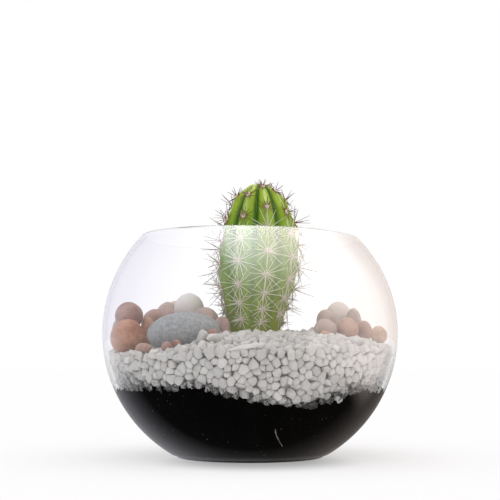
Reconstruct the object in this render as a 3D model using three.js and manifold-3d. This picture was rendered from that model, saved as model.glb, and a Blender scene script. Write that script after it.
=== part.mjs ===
// Glass plant terrarium: one columnar cactus in a bubble bowl of clear glass. Black potting soil fills the
// foot of the bowl, a bed of white marble chips lies on the soil, and river stones lie on the chips.
// Millimetres, +Z up. The origin is the centre of the bowl's flat foot. The front of the object faces -Y.

import * as THREE from 'three';
import { mergeVertices } from 'three/addons/utils/BufferGeometryUtils.js';
import Module from 'manifold-3d';

const wasm = await Module();
wasm.setup();

// Bowl: an ellipsoid of revolution, cut flat at the foot and open at the mouth.
const BOWL_RADIUS = 100;
const BOWL_HALF_HEIGHT = 96; // vertical half axis of the whole ellipsoid
const BOWL_HEIGHT = 148;
const FOOT_RADIUS = 49.5;
const WALL = 3;
const FLOOR = 4.5;
const RIM_SLOPE = 0.015; // the fire-polished rim is a little out of level, lower towards +X
const BOWL_SIDES = 40;
const WALL_STEPS = 11; // rings of each wall face, foot to mouth
const LIP_STEPS = 3;

const TOUCH_GAP = 0.3; // between pieces that touch
const BED_GAP = 0.8; // between the two wavy beds, whose facets differ

// Soil and chips: levels of their upper faces above the foot, and the heaps and dips on them.
const SOIL_LEVEL = 45.5;
const SOIL_DIP = { x: 20, y: -BOWL_RADIUS, halfWidth: 34, halfDepth: 95, height: 9 };
const SOIL_WAVE = { height: 1.8, x: 24, y: 30 };
const SOIL_SIDE_ROWS = 4;
const SOIL_TOP_ROWS = 5;
const CHIP_LEVEL = 69.6;
const MOUND = { x: 12, halfLeft: 55, halfRight: 75, halfDepth: 80, height: 13 }; // round the cactus
const LEFT_HEAP = { x: -47, y: 18, halfWidth: 26, halfDepth: 40, height: 16 }; // under the stones
const RIGHT_HEAP = { x: 60, y: 12, halfWidth: 22, halfDepth: 30, height: 6.4 };
const CHIP_SPREAD = 4; // sets how many chips show: they are 10 to 12 mm wide, twice the real ones
const CHIP_RELIEF = 5.4; // from the deepest gap to the highest peak
const PEAK_HEIGHTS = [0.1, 0.5]; // range of the peaks' heights, as shares of the relief
const GAP_HEIGHTS = [-0.5, 0];
const CHIP_SHIFT = 0.07; // range of the peaks' and gaps' straying sideways, for a ball of radius 1
const PEAK_REACH = 0.03; // within this angle a corner of the fine ball is a chip's peak, in radians

// Cactus: nine ribs on a stem that leans a little towards +X.
const RIBS = 9;
const FIRST_RIB = -77; // degrees from +X to the rib that faces the front
const STEM_FOOT = 38;
const STEM_X = 3;
const STEM_LEAN = 3.5;
const LEAN_FROM = 84; // heights between which the stem leans over
const LEAN_TO = 160;
const AREOLE_RADIUS = 1.7;
const SPINES_PER_AREOLE = 6;
const SPINE_RADIUS = 0.32;
const SPINE_LENGTH = 12.5;
const SPINE_CLEARANCE = 1; // between a spine's tip and the chips
const SIDES_PER_RIB = 4;
const HOLE_SIDES = 24;

// Crest radius of the stem at each height, from the root to the crown.
const STEM_PROFILE = [
  [38, 7], [46, 11.5], [58, 14.5], [70, 16.3], [84, 17.6], [92, 19.2], [98, 20.8], [105.5, 22.6], [112, 24.9],
  [119, 26.4], [128, 27.2], [138, 27.3], [147, 26], [158, 23.7], [166, 21.5], [173, 18.4], [178.5, 14.6],
  [182.5, 10], [185, 5.4],
];
const CROWN_TOP = 185.2;

// Where each rib's first areole sits below the crown, and how far apart the areoles are.
const AREOLE_START = [167.4, 164.5, 174.5, 167, 174, 169, 172, 176, 161];
const AREOLE_STEP = 15.4;
const OLD_GROWTH = 122; // below this height each step is shorter than the one above
const STEP_SHRINK = 0.82;
const LOWEST_AREOLE = 88;
const HIGHEST_AREOLE = 183;

// ---------------------------------------------------------------------------------------------------
// Helpers

/** A closed solid from a geometry: shared corners merged and triangles without area dropped. */
function solid(geometry) {
  const bare = geometry.clone();
  bare.deleteAttribute('normal');
  bare.deleteAttribute('uv');
  const merged = mergeVertices(bare, 1e-3);
  const index = merged.index.array;
  const triangles = [];
  for (let i = 0; i < index.length; i += 3) {
    const [a, b, c] = [index[i], index[i + 1], index[i + 2]];
    if (a !== b && b !== c && c !== a) triangles.push(a, b, c);
  }
  return new wasm.Manifold(new wasm.Mesh({
    numProp: 3,
    vertProperties: merged.attributes.position.array,
    triVerts: new Uint32Array(triangles),
  }));
}

/** The three.js geometry of a solid. */
function toGeometry(manifold) {
  const mesh = manifold.getMesh();
  const geometry = new THREE.BufferGeometry();
  geometry.setAttribute('position', new THREE.BufferAttribute(mesh.vertProperties, 3));
  geometry.setIndex(new THREE.BufferAttribute(mesh.triVerts, 1));
  geometry.computeVertexNormals();
  return geometry;
}

/** A surface of rows round the Z axis. place(row, angle) gives each corner; the end rows are points. */
function revolve(rows, sides, place) {
  const profile = Array.from({ length: rows }, (_, row) => new THREE.Vector2(1, row));
  const geometry = new THREE.LatheGeometry(profile, sides);
  const corners = geometry.attributes.position;
  for (let i = 0; i < corners.count; i++) {
    const side = Math.floor(i / rows) % sides;
    const angle = (2 * Math.PI * side) / sides;
    corners.setXYZ(i, ...place(i % rows, angle).toArray());
  }
  return geometry;
}

const lerp = THREE.MathUtils.lerp;
const smooth = THREE.MathUtils.smoothstep;
const radians = THREE.MathUtils.degToRad;

/** A bell of height 1 round a centre: 1 in the middle, near 0 past its half width. */
const bell = (distance, width, power = 2) => Math.exp(-Math.pow(Math.abs(distance) / width, power));

/** A repeatable stream of numbers from 0 to 1. */
function randomStream(seed) {
  let state = seed;
  return () => {
    state = (state + 0x6d2b79f5) | 0;
    let t = Math.imul(state ^ (state >>> 15), 1 | state);
    t = (t + Math.imul(t ^ (t >>> 7), 61 | t)) ^ t;
    return ((t ^ (t >>> 14)) >>> 0) / 4294967296;
  };
}

function piece(name, geometry, color, roughness, metalness = 0) {
  const mesh = new THREE.Mesh(geometry, new THREE.MeshStandardMaterial({ color, roughness, metalness }));
  mesh.name = name;
  return mesh;
}

// ---------------------------------------------------------------------------------------------------
// Glass bowl

const BOWL_CENTRE = BOWL_HALF_HEIGHT * Math.sqrt(1 - (FOOT_RADIUS / BOWL_RADIUS) ** 2);
const LIP_ANGLE = Math.asin((BOWL_HEIGHT - WALL / 2 - BOWL_CENTRE) / (BOWL_HALF_HEIGHT - WALL / 2));

/** A point of the wall's section: angle from the equator, depth into the glass. */
function wallPoint(angle, depth) {
  return new THREE.Vector2(
    (BOWL_RADIUS - depth) * Math.cos(angle),
    BOWL_CENTRE + (BOWL_HALF_HEIGHT - depth) * Math.sin(angle),
  );
}

function wallFace(from, to, depth) {
  return Array.from({ length: WALL_STEPS + 1 }, (_, i) => wallPoint(lerp(from, to, i / WALL_STEPS), depth));
}

const FOOT_ANGLE = -Math.asin(BOWL_CENTRE / BOWL_HALF_HEIGHT);
const FLOOR_ANGLE = Math.asin((FLOOR - BOWL_CENTRE) / (BOWL_HALF_HEIGHT - WALL));
const cavityFace = wallFace(FLOOR_ANGLE, LIP_ANGLE, WALL);

function glassBowl() {
  const lipCentre = wallPoint(LIP_ANGLE, WALL / 2);
  const lip = Array.from({ length: LIP_STEPS }, (_, i) => {
    const turn = LIP_ANGLE + (Math.PI * (i + 1)) / (LIP_STEPS + 1);
    return lipCentre.clone().add(new THREE.Vector2(Math.cos(turn), Math.sin(turn)).multiplyScalar(WALL / 2));
  });
  const section = [
    new THREE.Vector2(0, 0),
    ...wallFace(FOOT_ANGLE, LIP_ANGLE, 0),
    ...lip,
    ...cavityFace.slice().reverse(),
    new THREE.Vector2(0, FLOOR),
  ];
  const geometry = new THREE.LatheGeometry(section, BOWL_SIDES);
  geometry.rotateX(Math.PI / 2);
  const corners = geometry.attributes.position;
  for (let i = 0; i < corners.count; i++) {
    const lift = Math.max(0, (corners.getZ(i) - BOWL_CENTRE) / (BOWL_HEIGHT - BOWL_CENTRE));
    corners.setZ(i, corners.getZ(i) - RIM_SLOPE * corners.getX(i) * lift ** 2);
  }
  return toGeometry(solid(geometry));
}

/** Radius of the bowl's inner face at a height. */
function cavityRadius(z) {
  const above = Math.max(1, cavityFace.findIndex((point) => point.y >= z));
  const [low, high] = [cavityFace[above - 1], cavityFace[above]];
  return lerp(low.x, high.x, (z - low.y) / (high.y - low.y));
}

// ---------------------------------------------------------------------------------------------------
// Soil

/** Height that a heap or a dip adds at a point. */
const heap = (shape, x, y) => (
  shape.height * bell(x - shape.x, shape.halfWidth) * bell(y - shape.y, shape.halfDepth)
);

/** The soil's upper face dips towards the front, a little right of the middle. */
function soilTop(x, y) {
  const waves = SOIL_WAVE.height * Math.sin(x / SOIL_WAVE.x) * Math.cos(y / SOIL_WAVE.y);
  return SOIL_LEVEL - heap(SOIL_DIP, x, y) + waves;
}

function soilBed() {
  const side = SOIL_SIDE_ROWS;
  const top = SOIL_TOP_ROWS;
  const rows = side + top + 2;
  return revolve(rows, BOWL_SIDES, (row, angle) => {
    const [c, s] = [Math.cos(angle), Math.sin(angle)];
    const base = FLOOR + TOUCH_GAP;
    if (row === 0) return new THREE.Vector3(0, 0, base);
    const edge = cavityRadius(SOIL_LEVEL) - TOUCH_GAP;
    const edgeTop = soilTop(edge * c, edge * s);
    if (row <= side) {
      const z = lerp(base, edgeTop, (row - 1) / (side - 1));
      const r = cavityRadius(z) - TOUCH_GAP;
      return new THREE.Vector3(r * c, r * s, z);
    }
    const r = (cavityRadius(edgeTop) - TOUCH_GAP) * (1 - (row - side) / (top + 1));
    return new THREE.Vector3(r * c, r * s, soilTop(r * c, r * s));
  });
}

// ---------------------------------------------------------------------------------------------------
// Marble chips

/** Height of the bed of chips, without the relief of single chips. */
function chipTop(x, y) {
  const away = x - MOUND.x;
  const across = away < 0 ? bell(away, MOUND.halfLeft, 4) : bell(away, MOUND.halfRight, 3);
  const mound = MOUND.height * across * bell(y, MOUND.halfDepth, 4);
  return CHIP_LEVEL + mound + heap(LEFT_HEAP, x, y) + heap(RIGHT_HEAP, x, y);
}

const CHIP_TOP_SHARE = 0.5; // how the bed's triangles are shared out, by area
const CHIP_SIDE_SHARE = 0.4;
const CHIP_RIM_SHARE = 0.03; // over this share the relief turns from upwards to outwards

/** Where a direction from the middle of the bed meets its top, its side or its underside, with relief. */
function chipPoint(direction, relief) {
  const share = (1 - direction.z) / 2;
  const angle = Math.atan2(direction.y, direction.x);
  const [c, s] = [Math.cos(angle), Math.sin(angle)];
  const inside = Math.cos(Math.PI / BOWL_SIDES);
  const rim = cavityRadius(CHIP_LEVEL) * inside - TOUCH_GAP - CHIP_RELIEF / 2;
  const outwards = (Math.PI / 2) * smooth(share, CHIP_TOP_SHARE - CHIP_RIM_SHARE, CHIP_TOP_SHARE + CHIP_RIM_SHARE);
  const aside = relief * Math.sin(outwards);
  const up = relief * Math.cos(outwards);
  if (share < CHIP_TOP_SHARE) {
    const r = rim * Math.sqrt(share / CHIP_TOP_SHARE);
    return new THREE.Vector3((r + aside) * c, (r + aside) * s, chipTop(r * c, r * s) + up);
  }
  if (share < CHIP_TOP_SHARE + CHIP_SIDE_SHARE) {
    const down = (share - CHIP_TOP_SHARE) / CHIP_SIDE_SHARE;
    const z = lerp(chipTop(rim * c, rim * s), soilTop(rim * c, rim * s) + BED_GAP, down);
    const r = cavityRadius(z) * inside - TOUCH_GAP - CHIP_RELIEF / 2 + aside;
    return new THREE.Vector3(r * c, r * s, z + up);
  }
  const under = 1 - CHIP_TOP_SHARE - CHIP_SIDE_SHARE;
  const edge = cavityRadius(SOIL_LEVEL) * inside - 2 * TOUCH_GAP - CHIP_RELIEF;
  const r = edge * Math.sqrt((1 - share) / under);
  return new THREE.Vector3(r * c, r * s, soilTop(r * c, r * s) + BED_GAP);
}

/** Directions of the chips' peaks: the corners and the middles of an evenly divided ball's triangles. */
function chipPeaks() {
  const corners = new THREE.IcosahedronGeometry(1, CHIP_SPREAD - 1).attributes.position;
  const peaks = [];
  for (let i = 0; i < corners.count; i += 3) {
    const triangle = [0, 1, 2].map((j) => new THREE.Vector3().fromBufferAttribute(corners, i + j));
    const middle = triangle.reduce((sum, corner) => sum.add(corner), new THREE.Vector3());
    peaks.push(...triangle, middle.normalize());
  }
  return peaks;
}

/** The bed's surface: a ball divided three times finer than its peaks, so that corners ring each peak. */
function chipBed() {
  const ball = new THREE.IcosahedronGeometry(1, 3 * CHIP_SPREAD - 1);
  ball.deleteAttribute('normal');
  ball.deleteAttribute('uv');
  const geometry = mergeVertices(ball, 1e-3);
  const corners = geometry.attributes.position;
  const peaks = chipPeaks();
  const random = randomStream(17);
  const direction = new THREE.Vector3();
  for (let i = 0; i < corners.count; i++) {
    direction.fromBufferAttribute(corners, i).normalize();
    const isPeak = peaks.some((peak) => peak.angleTo(direction) < PEAK_REACH);
    const height = lerp(...(isPeak ? PEAK_HEIGHTS : GAP_HEIGHTS), random());
    const shift = new THREE.Vector3(random() - 0.5, random() - 0.5, random() - 0.5).multiplyScalar(CHIP_SHIFT);
    direction.add(shift).normalize();
    corners.setXYZ(i, ...chipPoint(direction, CHIP_RELIEF * height).toArray());
  }
  return geometry;
}

// ---------------------------------------------------------------------------------------------------
// Cactus

/** Crest radius of the stem at a height. */
function stemRadius(z) {
  const above = Math.max(1, STEM_PROFILE.findIndex(([height]) => height >= z));
  const [z0, r0] = STEM_PROFILE[above - 1];
  const [z1, r1] = STEM_PROFILE[above];
  return lerp(r0, r1, (z - z0) / (z1 - z0));
}

const stemAxis = (z) => STEM_X + STEM_LEAN * smooth(z, LEAN_FROM, LEAN_TO);

/** How deep the valleys between the ribs are, as a share of the radius: none below the chips. */
const ribDepth = (z) => 0.16 * smooth(z, 74, 100) + 0.12 * smooth(z, 150, 176);

function stemPoint(z, angle, radius = stemRadius(z)) {
  const phase = RIBS * (angle - radians(FIRST_RIB));
  const r = radius * (1 - ribDepth(z) * (1 - Math.abs(Math.cos(phase / 2))));
  return new THREE.Vector3(stemAxis(z) + r * Math.cos(angle), r * Math.sin(angle), z);
}

function stem() {
  const rows = STEM_PROFILE.length + 2;
  const turn = radians(FIRST_RIB);
  return revolve(rows, RIBS * SIDES_PER_RIB, (row, angle) => {
    if (row === 0) return new THREE.Vector3(STEM_X, 0, STEM_FOOT);
    if (row === rows - 1) return new THREE.Vector3(stemAxis(CROWN_TOP), 0, CROWN_TOP);
    const [z, radius] = STEM_PROFILE[row - 1];
    return stemPoint(row === 1 ? z + 0.01 : z, angle + turn, radius);
  });
}

/** The round hole that the buried stem stands in. */
function stemHole() {
  const rows = STEM_PROFILE.length + 2;
  return revolve(rows, HOLE_SIDES, (row, angle) => {
    if (row === 0) return new THREE.Vector3(STEM_X, 0, STEM_FOOT - 2 * TOUCH_GAP);
    if (row === rows - 1) return new THREE.Vector3(STEM_X, 0, CROWN_TOP);
    const [z, radius] = STEM_PROFILE[row - 1];
    const r = (radius + 2 * TOUCH_GAP) / Math.cos(Math.PI / HOLE_SIDES);
    return new THREE.Vector3(stemAxis(z) + r * Math.cos(angle), r * Math.sin(angle), z - 2 * TOUCH_GAP);
  });
}

/** Areoles of one rib, from the crown down: closer together where the stem is old and narrow. */
function areoleHeights(rib) {
  const heights = [];
  let step = AREOLE_STEP;
  for (let z = AREOLE_START[rib] + step; z > LOWEST_AREOLE; z -= step) {
    if (z < HIGHEST_AREOLE) heights.push(z);
    if (z < OLD_GROWTH) step *= STEP_SHRINK;
  }
  return heights;
}

/** A three-sided spine from a root, along a direction. */
function spine(root, direction, length) {
  const geometry = new THREE.ConeGeometry(SPINE_RADIUS, length, 3);
  geometry.translate(0, length / 2, 0);
  geometry.applyQuaternion(new THREE.Quaternion().setFromUnitVectors(new THREE.Vector3(0, 1, 0), direction));
  geometry.translate(root.x, root.y, root.z);
  return solid(geometry);
}

/** A woolly areole with its star of spines, as solids to be joined to the stem. */
function areole(rib, z, random) {
  const angle = radians(FIRST_RIB + (360 / RIBS) * rib);
  const root = stemPoint(z, angle);
  const up = stemPoint(z + 2, angle).sub(stemPoint(z - 2, angle)).normalize();
  const aside = new THREE.Vector3(-Math.sin(angle), Math.cos(angle), 0);
  const out = new THREE.Vector3().crossVectors(aside, up).normalize();
  const pad = new THREE.OctahedronGeometry(AREOLE_RADIUS);
  pad.translate(root.x, root.y, root.z);
  const parts = [solid(pad)];
  const scale = 0.55 + 0.45 * smooth(z, 88, 115) - 0.6 * smooth(z, 168, 182); // short at foot and crown
  const start = random() * 60;
  for (let i = 0; i < SPINES_PER_AREOLE; i++) {
    const around = radians(start + (360 / SPINES_PER_AREOLE) * i + 16 * (random() - 0.5));
    const lean = radians(24 + 18 * random());
    const direction = up.clone().multiplyScalar(Math.cos(around))
      .addScaledVector(aside, Math.sin(around))
      .multiplyScalar(Math.cos(lean))
      .addScaledVector(out, Math.sin(lean))
      .normalize();
    const length = SPINE_LENGTH * scale * (0.85 + 0.3 * random());
    const tip = root.clone().addScaledVector(direction, length);
    const clearOf = chipTop(tip.x, tip.y) + CHIP_RELIEF / 2 + SPINE_CLEARANCE;
    if (tip.z > clearOf) parts.push(spine(root, direction, length));
  }
  return parts;
}

function cactus() {
  const random = randomStream(11);
  const parts = [];
  for (let rib = 0; rib < RIBS; rib++) {
    for (const z of areoleHeights(rib)) parts.push(...areole(rib, z, random));
  }
  return parts.reduce((whole, part) => whole.add(part), solid(stem()));
}

// ---------------------------------------------------------------------------------------------------
// River stones

// Each stone: centre, half sizes, turn about Z and lean about Y in degrees, colour, and its facets.
const SLATE = '#8d9697';
const TERRACOTTA = '#a8653f';
const BROWN = '#80594b';
const MAUVE = '#8c7a77';
const PINK = '#a99a97';
const BEIGE = '#b79c86';
const RUST = '#8a5443';
const STONE_DETAIL = 2; // how finely a stone's surface is divided, where it doesn't say
const SOCKET_GROW = { 1: 1.02, 2: 1.09, 3: 1.11 }; // sockets have larger facets, so they are cut larger
const STONES = {
  left_stone_slate: { at: [-43, -42, 82.4], half: [23.4, 15, 13], turn: 4, lean: -5, color: SLATE, detail: 3 },
  left_stone_01: { at: [-79.6, -31, 79.8], half: [10.2, 9.5, 11], turn: 0, lean: 0, color: TERRACOTTA },
  left_stone_02: { at: [-68.6, -13.8, 82.3], half: [5.2, 6, 11.1], turn: 0, lean: 4, color: TERRACOTTA, detail: 1 },
  left_stone_03: { at: [-80.6, -17.8, 94], half: [9.3, 9.2, 9.3], turn: 20, lean: 0, color: BROWN },
  left_stone_04: { at: [-88.2, 2, 82.6], half: [7.6, 8, 12], turn: 0, lean: 0, color: MAUVE, detail: 1 },
  left_stone_05: { at: [-65.4, 4, 88.4], half: [9.6, 8.5, 11], turn: 0, lean: 0, color: BROWN },
  left_stone_06: { at: [-59, 24, 93.9], half: [8.8, 8.4, 12], turn: 0, lean: 8, color: BROWN },
  left_stone_07: { at: [-54.2, 43, 94.2], half: [9, 8.6, 12.8], turn: 0, lean: 0, color: BEIGE, detail: 1 },
  left_stone_08: { at: [-42.2, 10, 99.9], half: [10.5, 10, 10.7], turn: 0, lean: 4, color: PINK },
  left_stone_09: { at: [-30, -14, 91], half: [9, 8, 9.2], turn: 0, lean: 0, color: RUST },
  left_stone_10: { at: [-18.6, -24.4, 86.6], half: [5.2, 5.4, 6.6], turn: 0, lean: 0, color: RUST, detail: 1 },
  left_stone_11: { at: [-23.2, -60, 80.6], half: [3.6, 3.8, 3.5], turn: 0, lean: 0, color: BROWN, detail: 1 },
  left_stone_12: { at: [-65.8, -62, 72], half: [5.1, 4.4, 3.6], turn: -30, lean: 0, color: RUST, detail: 1 },
  left_stone_13: { at: [-51.2, -68, 73], half: [3.2, 3.2, 3.1], turn: 0, lean: 0, color: RUST, detail: 1 },
  left_stone_14: { at: [-45.8, -62, 74.8], half: [3.1, 2.8, 2.7], turn: 0, lean: 0, color: BROWN, detail: 1 },
  right_stone_01: { at: [49.4, -27, 84.4], half: [7.8, 7.3, 7.5], turn: 0, lean: 0, color: MAUVE },
  right_stone_02: { at: [64.2, -22.6, 84.3], half: [7.1, 7.6, 8.2], turn: 0, lean: 0, color: TERRACOTTA },
  right_stone_03: { at: [76.2, -11, 83.6], half: [5.8, 6, 7.2], turn: 0, lean: 0, color: BROWN, detail: 1 },
  right_stone_04: { at: [84.2, -26, 81], half: [5.4, 5.6, 6.1], turn: 0, lean: 0, color: BEIGE },
  right_stone_05: { at: [51.3, -6, 91.2], half: [6.4, 7, 7.6], turn: 0, lean: 0, color: MAUVE, detail: 1 },
  right_stone_06: { at: [61.8, 17, 94.4], half: [9.2, 9, 10.6], turn: 0, lean: 0, color: BEIGE },
  right_stone_07: { at: [71, 2, 90.7], half: [5.6, 6.4, 9.5], turn: 0, lean: 0, color: MAUVE, detail: 1 },
  right_stone_08: { at: [47.8, -41, 80.6], half: [3.2, 3, 3], turn: 0, lean: 0, color: TERRACOTTA, detail: 1 },
};

/** A water-worn stone: a ball with slow swells, drawn out to its sizes. */
function stoneGeometry(stone, order, detail, grow = 1, gap = 0) {
  const geometry = new THREE.IcosahedronGeometry(1, detail);
  const corners = geometry.attributes.position;
  const point = new THREE.Vector3();
  for (let i = 0; i < corners.count; i++) {
    point.fromBufferAttribute(corners, i).normalize();
    const swell = Math.sin(2.1 * point.x + order) * Math.cos(1.7 * point.z - order)
      + Math.sin(2.6 * point.y + 2 * order);
    point.multiplyScalar(1 + 0.035 * swell);
    corners.setXYZ(i, ...point.toArray());
  }
  const [a, b, c] = stone.half;
  geometry.scale(a * grow + gap, b * grow + gap, c * grow + gap);
  geometry.rotateY(radians(stone.lean));
  geometry.rotateZ(radians(stone.turn));
  geometry.translate(...stone.at);
  return geometry;
}

// ---------------------------------------------------------------------------------------------------
// Assembly

const hole = solid(stemHole());
let chips = solid(chipBed()).subtract(hole);
const stones = Object.entries(STONES).map(([name, stone], order) => {
  const detail = stone.detail ?? STONE_DETAIL;
  chips = chips.subtract(solid(stoneGeometry(stone, order, 1, SOCKET_GROW[detail], TOUCH_GAP)));
  return piece(name, toGeometry(solid(stoneGeometry(stone, order, detail))), stone.color, 0.75);
});

const terrarium = new THREE.Group();
terrarium.add(
  piece('glass_bowl', glassBowl(), '#eef1f2', 0.03),
  piece('potting_soil', toGeometry(solid(soilBed()).subtract(hole)), '#141312', 0.95),
  piece('marble_chips', toGeometry(chips), '#c9c8c6', 0.6),
  piece('cactus', toGeometry(cactus()), '#5f8a34', 0.5),
  ...stones,
);

export default terrarium;
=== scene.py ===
# %% [markdown]
# # A glass plant terrarium
# One columnar cactus stands in a bubble bowl of clear glass, in black potting soil under a bed of
# crushed white marble, with river stones on both sides. The construction comes in as a fixed frame
# of plain solids. Each solid then gets a finer piece of the same size in the same place. The front
# faces -Y, and lengths are in millimetres until a piece is finished, because that is how such an
# object is measured.

# %% Load the frame
import math

import bmesh
import bpy
import numpy as np
from mathutils import Euler, Matrix, Vector, kdtree, noise


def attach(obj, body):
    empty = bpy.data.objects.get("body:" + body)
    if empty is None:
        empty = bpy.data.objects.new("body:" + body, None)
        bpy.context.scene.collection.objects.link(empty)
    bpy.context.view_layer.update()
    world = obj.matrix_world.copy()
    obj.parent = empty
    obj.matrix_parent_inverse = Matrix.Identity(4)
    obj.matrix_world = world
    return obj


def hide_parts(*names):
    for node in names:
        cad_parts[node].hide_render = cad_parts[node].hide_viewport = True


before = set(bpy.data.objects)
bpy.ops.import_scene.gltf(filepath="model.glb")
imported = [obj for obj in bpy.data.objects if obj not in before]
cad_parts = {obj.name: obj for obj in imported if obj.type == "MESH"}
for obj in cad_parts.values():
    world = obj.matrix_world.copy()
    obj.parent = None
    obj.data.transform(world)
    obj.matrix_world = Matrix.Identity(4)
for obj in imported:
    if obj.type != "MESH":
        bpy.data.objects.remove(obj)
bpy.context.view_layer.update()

# %% [markdown]
# ## Camera
# The picture was taken from just above the table with a short telephoto lens, tilted up a little:
# the near edge of the bowl's mouth is seen from below. The camera comes first, because the floor,
# the light and the spots where single grains lie are all judged through it.

# %% Make the camera
CAMERA_AT = (0.0, -0.742, 0.065)  # metres
CAMERA_PITCH = 5.77  # degrees up from level
CAMERA_LENS = 78.05  # mm
SENSOR_WIDTH = 36  # mm

camera_data = bpy.data.cameras.new("camera")
camera_data.lens = CAMERA_LENS
camera_data.sensor_width = SENSOR_WIDTH
camera_data.clip_start = 0.01
camera = bpy.data.objects.new("camera", camera_data)
camera.location = CAMERA_AT
camera.rotation_euler = (math.radians(90 + CAMERA_PITCH), 0, 0)
bpy.context.scene.collection.objects.link(camera)
bpy.context.scene.camera = camera
bpy.context.scene.view_settings.view_transform = "Standard"
print("camera:", CAMERA_LENS, "mm lens, pitched up", CAMERA_PITCH, "degrees")

# %% [markdown]
# ## Colours and nodes
# A colour picked from a screen is an sRGB code, while shaders add and multiply light, which needs
# linear values. One function turns the first into the second. Another adds a shader node, sets it
# and wires its inputs, so that each material below reads as a short list. The real size of a
# pattern is known in millimetres, while a pattern node asks how many cells fit in a metre, so a
# third turns one into the other.

# %% Colours and nodes
MM = 0.001


def colour(code):
    """Linear red, green, blue and alpha of an sRGB hex code."""
    def linear(text):
        value = int(text, 16) / 255
        return value / 12.92 if value <= 0.04045 else ((value + 0.055) / 1.055) ** 2.4
    return (*(linear(code[i:i + 2]) for i in (1, 3, 5)), 1.0)


def cells(size):
    """Scale of a pattern whose cells are this many millimetres wide."""
    return 1 / (size * MM)


def add(tree, kind, inputs=None, stops=(), **settings):
    """Adds a shader node. inputs maps a socket's name or number to a value or to another node's
    output, and the stops of a colour ramp are pairs of a place from 0 to 1 and a hex code."""
    node = tree.nodes.new("ShaderNode" + kind)
    for name, value in settings.items():
        setattr(node, name, value)
    for socket, value in (inputs or {}).items():
        if isinstance(value, bpy.types.NodeSocket):
            tree.links.new(value, node.inputs[socket])
        else:
            node.inputs[socket].default_value = value
    for _ in stops[2:]:  # a new ramp has two stops
        node.color_ramp.elements.new(0.5)
    for i, (place, code) in enumerate(stops):
        node.color_ramp.elements[i].position = place
        node.color_ramp.elements[i].color = colour(code)
    return node


def new_material(name):
    """An empty material and its node tree."""
    material = bpy.data.materials.new(name)
    material.use_nodes = True
    material.node_tree.nodes.clear()
    return material, material.node_tree


print("mid grey #808080 is", round(colour("#808080")[0], 3), "of white in light")

# %% [markdown]
# ## Finished pieces
# A finished piece is one mesh at its real place, in metres, on an object that sits at the origin.
# The helper scales the millimetres down, gives the mesh its material, and hides the construction
# solid that the piece stands for. A number painted on each vertex lets a material tell one part of
# a piece from another.

# %% Finish a piece
def finish_piece(name, shape, material, nodes=(), smooth=True):
    """Turns a bmesh in millimetres into an object of the frame."""
    bmesh.ops.scale(shape, vec=(MM, MM, MM), verts=shape.verts)
    mesh = bpy.data.meshes.new(name)
    shape.to_mesh(mesh)
    shape.free()
    mesh.polygons.foreach_set("use_smooth", [smooth] * len(mesh.polygons))
    mesh.materials.append(material)
    piece = bpy.data.objects.new(name, mesh)
    bpy.context.scene.collection.objects.link(piece)
    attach(piece, "root")
    if nodes:
        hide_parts(*nodes)
    print(name, "has", sum(len(face.vertices) - 2 for face in mesh.polygons), "triangles")
    return piece


def paint(piece, name, values):
    """Stores one number for each vertex, which a material can read."""
    layer = piece.data.attributes.new(name, "FLOAT", "POINT")
    layer.data.foreach_set("value", np.asarray(values, np.float32))


print("a piece is drawn in mm and finished at", MM, "of that, in m")

# %% [markdown]
# Heaps, swellings and gradual changes all come from three small curves: a bell that fades on both
# sides of its middle, a soft step from 0 to 1, and a straight mix of two values.

# %% Curves
def bell(distance, width, power=2):
    """1 at distance 0, near 0 past the width."""
    return math.exp(-abs(distance / width) ** power)


def smoothstep(value, low, high):
    """0 up to low, 1 from high on, and a soft rise between them."""
    share = min(1.0, max(0.0, (value - low) / (high - low)))
    return share * share * (3 - 2 * share)


def mix(a, b, share):
    return a + (b - a) * share


print("a bell is", round(bell(1, 1), 2), "high at one width from its middle")

# %% [markdown]
# ## The shapes that the pieces share
# The bowl is an ellipsoid, cut flat at the foot and open at the mouth, and everything in it is held
# by its inner face. Two functions give the wall and the room inside it, so that each piece can be
# fitted to them.

# %% Bowl sizes
BOWL_RADIUS = 100.0
BOWL_HALF_HEIGHT = 96.0
BOWL_HEIGHT = 148.0
FOOT_RADIUS = 49.5
WALL = 3.0
FLOOR = 4.5
RIM_SLOPE = 0.015
BOWL_CENTRE = BOWL_HALF_HEIGHT * math.sqrt(1 - (FOOT_RADIUS / BOWL_RADIUS) ** 2)


def wall_point(angle, depth):
    """Radius and height of the wall at an angle from the widest ring, at a depth in the glass."""
    return ((BOWL_RADIUS - depth) * math.cos(angle),
            BOWL_CENTRE + (BOWL_HALF_HEIGHT - depth) * math.sin(angle))


def cavity_radius(z):
    """Radius of the bowl's inner face at a height."""
    share = (z - BOWL_CENTRE) / (BOWL_HALF_HEIGHT - WALL)
    return (BOWL_RADIUS - WALL) * math.sqrt(max(0.0, 1 - share * share))


print("widest ring at", round(BOWL_CENTRE, 1), "mm, inside radius", cavity_radius(BOWL_CENTRE))

# %% [markdown]
# The soil and the bed of chips aren't level: the soil dips behind the front glass, and the chips
# are heaped round the cactus and under both groups of stones. Both surfaces are sums of bells,
# given by the same formulas as the solids, so that the fine pieces lie where the plain ones do.

# %% Heaps and dips
SOIL_LEVEL = 45.5
CHIP_LEVEL = 69.6


def soil_top(x, y):
    """Height of the soil: it dips at the front, a little right of the middle."""
    dip = 9 * bell(x - 20, 34) * bell(y + 100, 95)
    waves = 1.8 * math.sin(x / 24) * math.cos(y / 30)
    return SOIL_LEVEL - dip + waves


def chip_top(x, y):
    """Height of the bed of chips: a mound round the cactus, a heap under each group of stones."""
    across = bell(x - 12, 55, 4) if x < 12 else bell(x - 12, 75, 3)
    mound = 13 * across * bell(y, 80, 4)
    left = 16 * bell(x + 47, 26) * bell(y - 18, 40)
    right = 6.4 * bell(x - 60, 22) * bell(y - 12, 30)
    return CHIP_LEVEL + mound + left + right


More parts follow.
